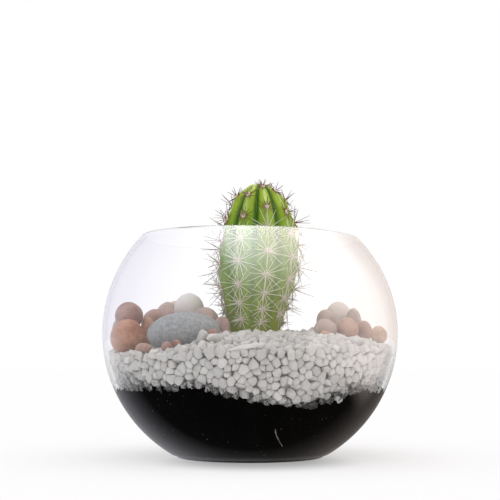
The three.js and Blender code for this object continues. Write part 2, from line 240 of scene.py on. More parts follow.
print("chips lie", round(chip_top(0, 0) - soil_top(0, 0), 1), "mm deep beside the cactus")

# %% [markdown]
# ## Glass bowl
# The real bowl is soda-lime glass, blown into a round mould and fire-polished at the mouth, so it
# is smooth all over, 3 mm thick, with a rounded lip. It could be a sphere with a Solidify modifier,
# but the wall, the lip and the thick floor are easier to hold to size as one drawn section that is
# spun round the axis.

# %% Draw the bowl's section
ARC_STEPS = 44
LIP_STEPS = 10

foot_angle = -math.asin(BOWL_CENTRE / BOWL_HALF_HEIGHT)
floor_angle = math.asin((FLOOR - BOWL_CENTRE) / (BOWL_HALF_HEIGHT - WALL))
lip_angle = math.asin((BOWL_HEIGHT - WALL / 2 - BOWL_CENTRE) / (BOWL_HALF_HEIGHT - WALL / 2))


def arc(start, end, depth):
    """Points along the wall between two angles, at a depth in the glass."""
    return [wall_point(mix(start, end, i / ARC_STEPS), depth) for i in range(ARC_STEPS + 1)]


lip_radius, lip_height = wall_point(lip_angle, WALL / 2)
lip = []
for i in range(1, LIP_STEPS):
    turn = lip_angle + math.pi * i / LIP_STEPS
    lip.append((lip_radius + math.cos(turn) * WALL / 2, lip_height + math.sin(turn) * WALL / 2))
foot_edge = [(FOOT_RADIUS - 1.2, 0.0), (FOOT_RADIUS - 0.3, 0.25), (FOOT_RADIUS + 0.35, 0.95)]
outer_face = arc(foot_angle, lip_angle, 0)[1:]
inner_face = arc(floor_angle, lip_angle, WALL)[::-1]
bowl_section = [(0.0, 0.0), *foot_edge, *outer_face, *lip, *inner_face, (0.0, FLOOR)]
print("bowl section of", len(bowl_section), "points")

# %% [markdown]
# Spinning a section from axis to axis gives a closed solid. The doubles where the turn meets itself
# and along the axis are merged, and then the normals are made to point outwards. The mouth of a
# blown bowl is never quite level, so the upper half is sheared down a little to the right.

# %% Spin the bowl
BOWL_STEPS = 160
MERGE = 1e-3  # mm between points that are one and the same


def spin(section, steps):
    """A closed solid: a section from axis to axis, spun a full turn."""
    shape = bmesh.new()
    chain = [shape.verts.new((radius, 0, z)) for radius, z in section]
    edges = [shape.edges.new(pair) for pair in zip(chain, chain[1:])]
    bmesh.ops.spin(shape, geom=chain + edges, cent=(0, 0, 0), axis=(0, 0, 1), angle=math.tau,
                   steps=steps, use_merge=True)
    bmesh.ops.remove_doubles(shape, verts=shape.verts, dist=MERGE)
    bmesh.ops.recalc_face_normals(shape, faces=shape.faces)
    return shape


bowl = spin(bowl_section, BOWL_STEPS)
for vertex in bowl.verts:
    lift = max(0.0, (vertex.co.z - BOWL_CENTRE) / (BOWL_HEIGHT - BOWL_CENTRE))
    vertex.co.z -= RIM_SLOPE * vertex.co.x * lift ** 2
print("bowl of", len(bowl.faces), "faces")

# %% [markdown]
# Clear glass needs no colour of its own: it bends what is behind it and mirrors what is in front,
# more so towards its edges. Soda-lime glass has an IOR of about 1.5. Light for the things inside
# passes straight through, because the bent light that a real bowl throws would only show as noise.
# The far wall, seen through the near one, only tints what is behind it, and its edges are tinted
# pale grey-lavender as a painted shade: they would otherwise turn dark where light bounces too
# often to follow.

# %% Soda-lime glass
NEAR_WALL_PASSES = 1.5  # a ray that has passed more faces than this has left the near wall

glass, tree = new_material("soda_lime_glass")
body = add(tree, "BsdfPrincipled", {
    "Base Color": colour("#fdfefe"), "Roughness": 0.0, "IOR": 1.5, "Transmission Weight": 1.0,
})
path = add(tree, "LightPath")
slant = add(tree, "LayerWeight", {0: 0.35}).outputs["Facing"]
# painted shade: the far wall's edges are tinted grey-lavender by how slanting they are
tint = add(tree, "ValToRGB", {0: slant},
           stops=[(0.0, "#ffffff"), (0.75, "#fbfbfc"), (1.0, "#dcdae2")])
far_wall_with_painted_edge = add(tree, "BsdfTransparent", {0: tint.outputs[0]})
is_far = add(tree, "Math", {0: path.outputs["Transmission Depth"], 1: NEAR_WALL_PASSES},
             operation="GREATER_THAN")
seen = add(tree, "MixShader", {0: is_far.outputs[0], 1: body.outputs[0], 2: far_wall_with_painted_edge.outputs[0]})
is_light = add(tree, "Math", {0: path.outputs["Is Shadow Ray"], 1: path.outputs["Is Diffuse Ray"]},
               operation="MAXIMUM")
clear = add(tree, "BsdfTransparent", {0: colour("#fbfcfc")})
both = add(tree, "MixShader", {0: is_light.outputs[0], 1: seen.outputs[0], 2: clear.outputs[0]})
add(tree, "OutputMaterial", {0: both.outputs[0]})
finish_piece("bubble_bowl", bowl, glass, ["glass_bowl"])

# %% [markdown]
# ## River stones
# The stones are laid out first, because no grain may lie where a stone does. They are water-worn
# pebbles: each is a ball with slow swells, drawn out to its sizes. The table gives for each its
# centre, half sizes, turn and lean in degrees, the stone it is made of, and how far its colour is
# mixed towards a pale grey-pink.

# %% Lay out the stones
STONES = {
    "left_stone_slate": ((-43, -42, 82.4), (23.4, 15, 13), 4, -5, "slate", 0),
    "left_stone_01": ((-79.6, -31, 79.8), (10.2, 9.5, 11), 0, 0, "terracotta", 0),
    "left_stone_02": ((-68.6, -13.8, 82.3), (5.2, 6, 11.1), 0, 4, "terracotta", 0.15),
    "left_stone_03": ((-80.6, -17.8, 94), (9.3, 9.2, 9.3), 20, 0, "brown", 0.04),
    "left_stone_04": ((-88.2, 2, 82.6), (7.6, 8, 12), 0, 0, "mauve", 0.2),
    "left_stone_05": ((-65.4, 4, 88.4), (9.6, 8.5, 11), 0, 0, "brown", 0.14),
    "left_stone_06": ((-59, 24, 93.9), (8.8, 8.4, 12), 0, 8, "brown", 0.36),
    "left_stone_07": ((-54.2, 43, 94.2), (9, 8.6, 12.8), 0, 0, "beige", 0.5),
    "left_stone_08": ((-42.2, 10, 99.9), (10.5, 10, 10.7), 0, 4, "pink", 0.95),
    "left_stone_09": ((-30, -14, 91), (9, 8, 9.2), 0, 0, "rust", 0.3),
    "left_stone_10": ((-18.6, -24.4, 86.6), (5.2, 5.4, 6.6), 0, 0, "rust", 0.2),
    "left_stone_11": ((-23.2, -60, 80.6), (3.6, 3.8, 3.5), 0, 0, "brown", 0.04),
    "left_stone_12": ((-65.8, -62, 72), (5.1, 4.4, 3.6), -30, 0, "rust", 0.1),
    "left_stone_13": ((-51.2, -68, 73), (3.2, 3.2, 3.1), 0, 0, "rust", 0.1),
    "left_stone_14": ((-45.8, -62, 74.8), (3.1, 2.8, 2.7), 0, 0, "brown", 0.04),
    "right_stone_01": ((49.4, -27, 84.4), (7.8, 7.3, 7.5), 0, 0, "mauve", 0.16),
    "right_stone_02": ((64.2, -22.6, 84.3), (7.1, 7.6, 8.2), 0, 0, "terracotta", 0.24),
    "right_stone_03": ((76.2, -11, 83.6), (5.8, 6, 7.2), 0, 0, "brown", 0.1),
    "right_stone_04": ((84.2, -26, 81), (5.4, 5.6, 6.1), 0, 0, "beige", 0),
    "right_stone_05": ((51.3, -6, 91.2), (6.4, 7, 7.6), 0, 0, "mauve", 0.2),
    "right_stone_06": ((61.8, 17, 94.4), (9.2, 9, 10.6), 0, 0, "beige", 0.75),
    "right_stone_07": ((71, 2, 90.7), (5.6, 6.4, 9.5), 0, 0, "mauve", 0.24),
    "right_stone_08": ((47.8, -41, 80.6), (3.2, 3, 3), 0, 0, "terracotta", 0.2),
}
print(len(STONES), "stones")

# %% [markdown]
# To tell whether a spot lies in a stone, the spot is turned back the way the stone was turned, and
# measured in the stone's own half sizes. Then the stone is a ball of radius 1, whatever its shape
# and pose.

# %% Measure depth in a stone
def depth_in_stone(spot, at, half, turn, lean):
    """How far out a spot lies in a stone, where 1 is the stone's surface."""
    local = Vector(spot) - Vector(at)
    local.rotate(Euler((0, math.radians(lean), math.radians(turn))).to_matrix().inverted())
    return math.sqrt(sum((local[i] / half[i]) ** 2 for i in range(3)))


def in_a_stone(spot, margin):
    """Whether a spot lies in a stone, or within a margin of it."""
    return any(depth_in_stone(spot, at, [size + margin for size in half], turn, lean) < 1
               for at, half, turn, lean, _, _ in STONES.values())


print("the cactus's axis lies in a stone:", in_a_stone((0, 0, CHIP_LEVEL), 0))

# %% [markdown]
# A pebble's minerals show as fine speckles, its worn crust as slow changes of tone, and gas or lost
# grains as small dark pores. One function mixes them for every kind of stone here, with the
# colours, how wide its pores are, and how wide its patches are. Water wears a stone satin-smooth,
# so it has a soft sheen only.

# %% Worn stone materials
def worn_stone(name, base, light, dark, pore, patch=7.69):
    """Water-worn stone with patches some mm wide, speckles under 1 mm and pores up to 1 mm."""
    material, tree = new_material(name)
    place = add(tree, "TexCoord").outputs["Object"]
    patches = add(tree, "TexNoise", {"Vector": place, "Scale": cells(patch), "Detail": 5.0,
                                     "Roughness": 0.6})
    speckle = add(tree, "TexNoise", {"Vector": place, "Scale": cells(0.667), "Detail": 3.0,
                                     "Roughness": 0.7})
    blend = add(tree, "Mix", {0: 0.48, 2: patches.outputs[0], 3: speckle.outputs[0]},
                data_type="FLOAT")
    tone = add(tree, "ValToRGB", {0: blend.outputs[0]},
               stops=[(0.38, dark), (0.5, base), (0.63, light)])
    pits = add(tree, "TexVoronoi", {"Vector": place, "Scale": cells(2.38)})
    pit = add(tree, "MapRange", {0: pits.outputs["Distance"], 1: 0.0, 2: pore, 3: 0.0, 4: 1.0})
    pitted = add(tree, "Mix", {0: pit.outputs[0], 6: colour(dark), 7: tone.outputs[0]},
                 data_type="RGBA")
    # Each stone's colour is mixed towards a pale grey-pink by its own share.
    paleness = add(tree, "Attribute", attribute_name="paleness").outputs["Fac"]
    shade = add(tree, "Mix", {0: paleness, 6: pitted.outputs[2], 7: colour("#f2ece8")},
                data_type="RGBA")
    height = add(tree, "Math", {0: pit.outputs[0], 1: speckle.outputs[0]}, operation="ADD")
    relief = add(tree, "Bump", {"Height": height.outputs[0], "Distance": 0.3 * MM, "Strength": 0.8})
    surface = add(tree, "BsdfPrincipled", {
        "Base Color": shade.outputs[2], "Roughness": 0.62, "IOR": 1.5, "Normal": relief.outputs[0],
    })
    add(tree, "OutputMaterial", {0: surface.outputs[0]})
    return material


STONE_FINISH = {
    "slate": worn_stone("worn_slate", "#a3a5a6", "#b9babb", "#848686", 0.06, 2.38),
    "terracotta": worn_stone("worn_red_sandstone", "#b97e5e", "#cf9b7a", "#8e573b", 0.14),
    "brown": worn_stone("worn_brown_jasper", "#a87f70", "#bf9787", "#7e5446", 0.12),
    "mauve": worn_stone("worn_mauve_quartzite", "#ab9286", "#bfa99d", "#866e65", 0.08),
    "pink": worn_stone("worn_pink_granite", "#c2b5b0", "#d3c8c4", "#9f918c", 0.07),
    "beige": worn_stone("worn_beige_flint", "#c29b7e", "#d6b69c", "#9d775b", 0.07),
    "rust": worn_stone("worn_rust_sandstone", "#a87f70", "#bf998a", "#7e584b", 0.12),
}
print("stone finishes:", ", ".join(STONE_FINISH))

# %% [markdown]
# A river rolls a stone until no corner is left, but hardly ever into a true ball. Each stone starts
# as an icosphere, whose triangles are all about the same size. Slow waves push its skin in and out
# by a few hundredths, fine noise dents it a little, and then it is drawn out, leaned, turned and
# set in its place.

# %% Shape the stones
SWELL = 0.035  # share of the size that the slow waves add or take
DENT = 0.18  # mm, the fine unevenness of a worn stone
DENT_SPACING = 3.1  # dents to one radius


def pebble(order, at, half, turn, lean):
    """A ball with slow swells and fine dents, drawn out, turned and set in its place."""
    shape = bmesh.new()
    bmesh.ops.create_icosphere(shape, subdivisions=5, radius=1)
    for vertex in shape.verts:
        x, y, z = vertex.co
        swell = math.sin(2.1 * x + order) * math.cos(1.7 * z - order)
        swell += math.sin(2.6 * y + 2 * order)
        dents = noise.fractal(vertex.co * DENT_SPACING + Vector((order * 9.7, 0, 0)), 1.0, 2.0, 3)
        vertex.co *= 1 + SWELL * swell + DENT / max(half) * dents
    bmesh.ops.scale(shape, vec=half, verts=shape.verts)
    for angle, axis in ((lean, "Y"), (turn, "Z")):
        rotation = Matrix.Rotation(math.radians(angle), 3, axis)
        bmesh.ops.rotate(shape, cent=(0, 0, 0), matrix=rotation, verts=shape.verts)
    bmesh.ops.translate(shape, vec=at, verts=shape.verts)
    return shape


for order, (node, (at, half, turn, lean, kind, paleness)) in enumerate(STONES.items()):
    shape = pebble(order, at, half, turn, lean)
    piece = finish_piece("worn_" + node, shape, STONE_FINISH[kind], [node])
    paint(piece, "paleness", [paleness] * len(piece.data.vertices))

# %% [markdown]
# ## Where the grains lie
# The white layer is crushed marble, sieved to about 4 to 6 mm. The grains are thrown in like darts:
# a spot is taken only if no other grain is too near. Comparing each throw with every grain would
# take minutes, so the room is divided into cells, and only the grains in the cells round a throw
# are looked at.

# %% Keep the grains apart
GRAIN_SIZES = (3.2, 5.1)  # mm between the middles of grains, from fine to coarse
NEXT_CELLS = [(i, j, k) for i in (-1, 0, 1) for j in (-1, 0, 1) for k in (-1, 0, 1)]


def keep_apart(spots):
    """The spots, in order, that have room beside those kept before: each is x, y, z and a size."""
    kept = []
    cell_spots = {}
    for spot in spots:
        i, j, k = (spot[:3] // GRAIN_SIZES[1]).astype(int)
        near = [other for di, dj, dk in NEXT_CELLS
                for other in cell_spots.get((i + di, j + dj, k + dk), ())]
        if all(np.linalg.norm(spot[:3] - other[:3]) >= (spot[3] + other[3]) / 2 for other in near):
            cell_spots.setdefault((i, j, k), []).append(spot)
            kept.append(spot)
    return kept


print("grains from", GRAIN_SIZES[0], "to", GRAIN_SIZES[1], "mm from middle to middle")

# %% [markdown]
# The first throws go along the glass, where each grain shows, and the later ones over the top. The
# lowest grains follow the top of the soil, but not quite: in two places along the front glass some
# have sunk in or stayed up. The random numbers start from a fixed seed, so that the same grains
# fall each time.

# %% Aim along the glass and over the bed
WALL_INSETS = (2.1, 3.5)  # mm from the glass to the middle of an outer grain
ABOVE_SOIL = 1.4  # mm from the soil's line to the middle of the lowest grains
BELOW_TOP = 2.4
TOP_DEPTH = 2.7  # mm from the bed's top to the middle of the top grains
TOP_JITTER = 0.9
BED_RADIUS = 94
LINE_RADIUS = 92  # the heights of soil and bed next to the glass are read at this radius
rng = np.random.default_rng(7)


def grain_line(x, y):
    """Height where the grains begin along the front glass, a little off the top of the soil."""
    raised = 2.6 * bell(x - 17, 13)
    sunk = 2.4 * bell(x - 46, 11)
    return soil_top(x, y) + (raised - sunk) * smoothstep(-y, 30, 60)


def wall_spots(count):
    """Random spots along the glass, from the soil's line to the top of the bed."""
    spots = []
    for angle, share in zip(rng.uniform(0, math.tau, count), rng.uniform(0, 1, count)):
        x, y = LINE_RADIUS * math.cos(angle), LINE_RADIUS * math.sin(angle)
        z = mix(grain_line(x, y) + ABOVE_SOIL, chip_top(x, y) - BELOW_TOP, share)
        radius = cavity_radius(z) - rng.uniform(*WALL_INSETS)
        size = rng.uniform(*GRAIN_SIZES)
        spots.append(np.array((radius * math.cos(angle), radius * math.sin(angle), z, size)))
    return spots


def top_spots(count):
    """Random spots over the bed, just below its top."""
    spots = []
    for angle, share in zip(rng.uniform(0, math.tau, count), rng.uniform(0, 1, count)):
        radius = BED_RADIUS * math.sqrt(share)
        x, y = radius * math.cos(angle), radius * math.sin(angle)
        z = chip_top(x, y) - TOP_DEPTH + rng.uniform(-TOP_JITTER, TOP_JITTER)
        spots.append(np.array((x, y, z, rng.uniform(*GRAIN_SIZES))))
    return spots


print("at the front the grains begin at", round(grain_line(0, -LINE_RADIUS), 1), "mm")

# %% [markdown]
# A few grains are placed one by one, because they half bury a small stone beside the slate. What is
# thrown into the cactus or into a stone is dropped. A tree of spots then finds the neighbours of
# each, and tells the soil which grains stand in front of it.

# %% Throw the grains
WALL_THROWS = 26000
TOP_THROWS = 24000
STEM_X = 3.0
STEM_CLEAR = 17.5  # mm from the stem's axis to the middle of the nearest grains
STONE_CLEAR = 0.8
OUTER_DEPTH = 4.0  # a grain with its middle nearer to the glass than this shows through it
HEAPED = ((-29.5, -62.5, 79.2), (-26.3, -65.2, 78.0), (-21.6, -66.0, 77.6), (-31.0, -60.0, 80.4))

thrown = [np.array((*spot, GRAIN_SIZES[1])) for spot in HEAPED]
thrown += wall_spots(WALL_THROWS)
thrown += top_spots(TOP_THROWS)
spots = [spot for spot in keep_apart(thrown)
         if math.hypot(spot[0] - STEM_X, spot[1]) > STEM_CLEAR
         and not in_a_stone(spot[:3], STONE_CLEAR)]
on_wall = [math.hypot(x, y) > cavity_radius(z) - OUTER_DEPTH for x, y, z, _ in spots]
tree_of_spots = kdtree.KDTree(len(spots))
for number, spot in enumerate(spots):
    tree_of_spots.insert(spot[:3], number)
tree_of_spots.balance()
print(sum(on_wall), "grains along the glass and", len(spots) - sum(on_wall), "on top")

# %% [markdown]
# ## Potting soil
# Moist peat lies wet against the glass, which is why it looks black right out to the bowl's
# outline: there is no air between them to mirror the light. The soil's side is therefore set a
# tenth of a millimetre into the wall. It is spun like the bowl, with many rows where its ragged
# upper edge will be.

# %% Draw the soil's section
WET_CONTACT = 0.12  # mm that the wet side is pressed into the glass
SIDE_ROWS = 14
LINE_ROWS = 15
CRUST_ROWS = 8
LINE_BELOW = 4.5  # mm from the soil's mean level down and up to the ends of its ragged line
LINE_ABOVE = 3.0
SOIL_STEPS = 600

line_foot, line_top = SOIL_LEVEL - LINE_BELOW, SOIL_LEVEL + LINE_ABOVE
crust_level = line_top + 1
levels = [mix(FLOOR, line_foot, i / SIDE_ROWS) for i in range(SIDE_ROWS)]
levels += [mix(line_foot, line_top, i / LINE_ROWS) for i in range(LINE_ROWS + 1)]
side = [(cavity_radius(z), z) for z in levels]
crust = [(side[-1][0] * (1 - i / CRUST_ROWS), crust_level) for i in range(1, CRUST_ROWS)]
soil = spin([(0.0, FLOOR - WET_CONTACT), *side, *crust, (0.0, crust_level)], SOIL_STEPS)
print("soil of", len(soil.faces), "faces")

# %% [markdown]
# Grains of the white layer stand in front of the soil's upper edge, so the soil steps back behind
# each of them, and that makes the line between black and white as ragged as the grains are. The
# rows near the edge also follow the soil's heaps and dips, and the top is laid on them.

# %% Shape the soil
GRAIN_REACH = 0.62  # share of a grain's size within which it hides the soil
GRAIN_RECESS = 2.6  # mm that the soil steps back behind a grain
CRUST_DEPTH = 0.4  # mm that the top lies below the soil's formula

for vertex in soil.verts:
    x, y, z = vertex.co
    radius = math.hypot(x, y)
    if z > crust_level - 0.5:
        vertex.co.z = soil_top(x, y) - CRUST_DEPTH
    elif radius > 1:
        z += (soil_top(x, y) - SOIL_LEVEL) * smoothstep(z, FLOOR, line_foot)
        inwards = (cavity_radius(z) - sum(WALL_INSETS) / 2) / radius
        _, nearest, distance = tree_of_spots.find((x * inwards, y * inwards, z))
        recess = GRAIN_RECESS if distance < spots[nearest][3] * GRAIN_REACH else 0.0
        reach = (cavity_radius(max(z, FLOOR)) + WET_CONTACT - recess) / radius
        vertex.co = (x * reach, y * reach, max(z, FLOOR - WET_CONTACT))
print("soil up to", round(max(vertex.co.z for vertex in soil.verts), 1), "mm")

# %% [markdown]
# Peat is nearly black when moist, with crumbs of 0.5 to 2 mm and a few pale mineral specks. The
# crumbs are cells of a Voronoi pattern that darken the colour and roughen the surface. Water
# against the glass takes away all shine, so its specular level is none.

# %% Moist peat
peat, tree = new_material("moist_peat")
place = add(tree, "TexCoord").outputs["Object"]
crumbs = add(tree, "TexVoronoi", {"Vector": place, "Scale": cells(1.613)})
patches = add(tree, "TexNoise", {"Vector": place, "Scale": cells(14.29), "Detail": 6.0})
depth = add(tree, "Math", {0: crumbs.outputs["Distance"], 1: patches.outputs[0]},
            operation="MULTIPLY")
black = add(tree, "ValToRGB", {0: depth.outputs[0]},
            stops=[(0.0, "#010101"), (0.35, "#030302"), (0.7, "#0c0b0a")])
specks = add(tree, "TexVoronoi", {"Vector": place, "Scale": cells(4.348)})
speck_size = add(tree, "MapRange", {0: patches.outputs[0], 1: 0.45, 2: 0.7, 3: 0.03, 4: 0.13})
is_speck = add(tree, "Math", {0: specks.outputs["Distance"], 1: speck_size.outputs[0]},
               operation="LESS_THAN")
mixed = add(tree, "Mix", {0: is_speck.outputs[0], 6: black.outputs[0], 7: colour("#5a5753")},
            data_type="RGBA")
relief = add(tree, "Bump", {"Height": crumbs.outputs["Distance"], "Distance": 0.6 * MM,
                            "Strength": 0.8})
surface = add(tree, "BsdfPrincipled", {
    "Base Color": mixed.outputs[2], "Roughness": 0.95, "IOR": 1.33, "Specular IOR Level": 0.0,
    "Normal": relief.outputs[0],
})
add(tree, "OutputMaterial", {0: surface.outputs[0]})
finish_piece("peat_bed", soil, peat, ["potting_soil"])

# %% [markdown]
# One pale rootlet shows against the glass, low in the soil. It is a thin tube: a ring is made at
# each of a few points, and bridges join one ring to the next. It is pressed into the glass a little
# deeper than the soil, so that it isn't buried.

# %% Bend the rootlet
ROOTLET = ((15.2, 23.6), (15.4, 21.6), (16.2, 19.0), (17.8, 15.8), (19.8, 12.6))  # x and z
ROOTLET_RADIUS = 0.34
ROOTLET_SIDES = 6

rootlet = bmesh.new()
last_ring = []
for x, z in ROOTLET:
    reach = cavity_radius(z) + WET_CONTACT
    middle = Vector((x, -math.sqrt(reach * reach - x * x), z))
    out = Vector((middle.x, middle.y, 0)).normalized()
    aside = Vector((-out.y, out.x, 0))
    upright = Matrix((aside, -out, (0, 0, 1))).transposed().to_4x4()
    made = bmesh.ops.create_circle(rootlet, segments=ROOTLET_SIDES, radius=ROOTLET_RADIUS,
                                   matrix=Matrix.Translation(middle) @ upright)
    ring = list({edge for vertex in made["verts"] for edge in vertex.link_edges})
    if last_ring:
        bmesh.ops.bridge_loops(rootlet, edges=last_ring + ring)
    last_ring = ring
bmesh.ops.holes_fill(rootlet, edges=[edge for edge in rootlet.edges if edge.is_boundary])
bmesh.ops.recalc_face_normals(rootlet, faces=rootlet.faces)
print("rootlet of", len(rootlet.faces), "faces")

# %% [markdown]
# A fine root dries to a pale, dull bark with streaks a couple of millimetres long. A coarse noise
# between a dark and a light grey-brown is enough for something this small.

# %% Dry rootlet
root_skin, tree = new_material("dry_rootlet")
place = add(tree, "TexCoord").outputs["Object"]
streaks = add(tree, "TexNoise", {"Vector": place, "Scale": cells(2.0), "Detail": 3.0})
tone = add(tree, "ValToRGB", {0: streaks.outputs[0]}, stops=[(0.35, "#55524e"), (0.65, "#a5a29c")])
surface = add(tree, "BsdfPrincipled", {"Base Color": tone.outputs[0], "Roughness": 0.9})
add(tree, "OutputMaterial", {0: surface.outputs[0]})
finish_piece("pale_rootlet", rootlet, root_skin)

# %% [markdown]
# ## Crushed marble
# Crushed marble is a mass of calcite crystals: white to grey, with a dull broken face. Real grains
# differ from each other more than each does in itself, so a shade stored for each grain carries
# most of the colour, and a fine noise adds the crystals. Peat sticks to the lowest ones as crumbs
# of about a millimetre, and a second stored number tells how much.

# %% Crushed marble
marble, tree = new_material("crushed_marble")
place = add(tree, "TexCoord").outputs["Object"]
shade = add(tree, "Attribute", attribute_name="shade").outputs["Fac"]
crystals = add(tree, "TexNoise", {"Vector": place, "Scale": cells(1.111), "Detail": 4.0,
                                  "Roughness": 0.65})
veins = add(tree, "TexNoise", {"Vector": place, "Scale": cells(4.167), "Detail": 3.0})
both = add(tree, "Mix", {0: 0.5, 2: crystals.outputs[0], 3: veins.outputs[0]}, data_type="FLOAT")
uneven = add(tree, "MapRange", {0: both.outputs[0], 1: 0.3, 2: 0.7, 3: 0.9, 4: 1.08})
tone = add(tree, "Math", {0: shade, 1: uneven.outputs[0]}, operation="MULTIPLY")
stone = add(tree, "ValToRGB", {0: tone.outputs[0]},
            stops=[(0.0, "#1c1b1a"), (0.5, "#8e8c8a"), (0.8, "#c6c3c0"), (1.0, "#e9e6e2")])
soiled = add(tree, "Attribute", attribute_name="soiled").outputs["Fac"]
crumbs = add(tree, "TexNoise", {"Vector": place, "Scale": cells(1.333), "Detail": 3.0,
                                "Roughness": 0.7})
stuck_from = add(tree, "MapRange", {0: soiled, 1: 0.0, 2: 1.0, 3: 0.78, 4: 0.34})
stuck_over = add(tree, "Math", {0: crumbs.outputs[0], 1: stuck_from.outputs[0]},
                 operation="SUBTRACT")
stuck = add(tree, "MapRange", {0: stuck_over.outputs[0], 1: 0.0, 2: 0.08})
covered = add(tree, "Mix", {0: stuck.outputs[0], 6: stone.outputs[0], 7: colour("#1d1b19")},
              data_type="RGBA")
relief = add(tree, "Bump", {"Height": crystals.outputs[0], "Distance": 0.3 * MM, "Strength": 0.5})
surface = add(tree, "BsdfPrincipled", {
    "Base Color": covered.outputs[2], "Roughness": 0.6, "IOR": 1.55, "Normal": relief.outputs[0],
})
add(tree, "OutputMaterial", {0: surface.outputs[0]})
print("material:", marble.name)

# %% [markdown]
# Packed grains meet along flat faces, with thin dark gaps between them. Scattered copies of a few
# grains would leave holes, so each grain is cut to fit its place, by one plane after another. The
# glass is a plane too at this size, and it is tilted a little for each grain, since a broken face
# rarely lies flat on it.

# %% Cut by planes
GLASS_CLEARANCE = 0.16  # mm between a grain and the glass, at least
TILTS = (0.1, 0.8)  # how far a face by the glass leans off it, as a slope
TILT_GAP = 1.3  # mm that a face of slope 1 keeps further from the glass
SQUASH = (BOWL_RADIUS - WALL) ** 2 / (BOWL_HALF_HEIGHT - WALL) ** 2


def random_direction():
    direction = rng.normal(size=3)
    return Vector(direction / np.linalg.norm(direction))


def cut(shape, point, normal):
    """Cuts away what lies in front of a plane, and closes the cut."""
    bmesh.ops.bisect_plane(shape, geom=shape.verts[:] + shape.edges[:] + shape.faces[:],
                           plane_co=point, plane_no=normal, clear_outer=True)
    rim = [edge for edge in shape.edges if edge.is_boundary]
    if rim:
        bmesh.ops.holes_fill(shape, edges=rim)


def wall_beside(spot):
    """The point of the glass's inner face next to a spot, and its outward direction."""
    out = Vector((spot.x, spot.y, 0)).normalized() * cavity_radius(spot.z)
    normal = (out + Vector((0, 0, (spot.z - BOWL_CENTRE) * SQUASH))).normalized()
    return out + Vector((0, 0, spot.z)), normal


def glass_plane(spot):
    """A plane just inside the glass next to a spot, tilted a little as broken faces are."""
    wall, normal = wall_beside(spot)
    tilt = rng.uniform(*TILTS)
    tilted = (normal + random_direction() * tilt).normalized()
    return wall - normal * (GLASS_CLEARANCE + TILT_GAP * tilt * rng.uniform(0.6, 1)), tilted


print("grains stay", GLASS_CLEARANCE, "mm or more from the glass")

# %% [markdown]
# A jaw crusher breaks stone into blunt, many-sided blocks. A cube stretched, turned and cut by a
# few random planes looks the same. Tumbling in the sack then wears its edges, which a bevel of one
# segment does here. A bevel on tiny faces leaves slivers, so points that almost meet are merged
# before it and after it.

# %% Break and wear a block
FREE_CUTS = 6
SMALLEST_EDGE = 0.45  # mm, shorter edges are merged away before the bevel
WORN_EDGE = 0.4
SLIVER = 0.02  # mm, narrower faces are merged away after it


def broken_block(half, spot):
    """A block turned at random and cut by random planes, as a crusher leaves it."""
    shape = bmesh.new()
    bmesh.ops.create_cube(shape, size=2 * half)
    bmesh.ops.scale(shape, vec=rng.uniform(0.8, 1.25, 3), verts=shape.verts)
    bmesh.ops.rotate(shape, cent=(0, 0, 0), matrix=Euler(rng.uniform(0, math.tau, 3)).to_matrix(),
                     verts=shape.verts)
    for _ in range(FREE_CUTS):
        normal = random_direction()
        cut(shape, normal * (half * rng.uniform(0.8, 1.1)), normal)
    bmesh.ops.translate(shape, vec=spot, verts=shape.verts)
    return shape


def wear(shape):
    """Wears the edges of a grain off and returns it as a mesh."""
    bmesh.ops.remove_doubles(shape, verts=shape.verts, dist=SMALLEST_EDGE)
    bmesh.ops.bevel(shape, geom=shape.edges[:], offset=WORN_EDGE, segments=1, affect="EDGES",
                    profile=0.5, material=-1, clamp_overlap=True)
    bmesh.ops.remove_doubles(shape, verts=shape.verts, dist=SLIVER)
    mesh = bpy.data.meshes.new("grain")
    shape.to_mesh(mesh)
    shape.free()
    return mesh


print("edges worn by", WORN_EDGE, "mm")

# %% [markdown]
# A grain is what is left of its block once the planes halfway to its neighbours, in front of the
# stones and along the glass have cut it. A bigger neighbour takes a bigger share of the room
# between two spots. Few faces are enough for each, because there are about 1,650 grains.

# %% Fit a grain
GRAIN_HALF = (0.62, 0.8)  # half width of a block, as a share of the grain's size
SEAM = 0.04  # mm that a grain keeps from the plane between two spots
NEIGHBOUR_REACH = 6.6  # mm within which other grains and stones are looked for


def fitted_grain(number):
    """The grain at a spot, cut to fit between its neighbours."""
    spot = Vector(spots[number][:3])
    size = spots[number][3]
    shape = broken_block(size * rng.uniform(*GRAIN_HALF), spot)
    for other, index, distance in tree_of_spots.find_range(spot, NEIGHBOUR_REACH):
        if index != number:
            away = (other - spot) / distance
            share = size / (size + spots[index][3])
            cut(shape, spot + away * (distance * share - SEAM), away)
    for at, half, turn, lean, _, _ in STONES.values():
        towards = Vector(at) - spot
        if towards.length < max(half) + NEIGHBOUR_REACH:
            skin = Vector(at) - towards / depth_in_stone(spot, at, half, turn, lean)
            cut(shape, skin, towards.normalized())
    if math.hypot(spot.x, spot.y) > cavity_radius(spot.z) - 2 * WALL_INSETS[1]:
        cut(shape, *glass_plane(spot))
    return wear(shape)


print("blocks up to", round(2 * GRAIN_HALF[1] * GRAIN_SIZES[1], 1), "mm wide")

# %% [markdown]
# Near the soil the grains are dusty, and higher up at both sides than in front. Each grain gets its
# shade and its share of peat as it is set, and all grains of a layer are joined into one piece,
# because thousands of objects would be slow to handle.

# %% Set the grains
SHADES = (0.78, 0.86, 0.96)  # darkest, commonest and lightest grain
PEAT_STAIN = 0.42  # share of its lightness that a grain loses in peat
PEAT_RISE = (9, 18)  # mm that peat dust reaches above the soil, in front and at the sides
SIDES = (50, 74)  # mm to the left or right of the bed's middle where the sides set in


def dirt(spot):
    """Share of a grain that peat covers: none well above the soil, all of it at the soil's line."""
    x, y, z, _ = spot
    sides = smoothstep(abs(x + 4), *SIDES) * smoothstep(-y, 0, 40)
    return 1 - smoothstep(z - soil_top(x, y), 0, mix(*PEAT_RISE, sides))


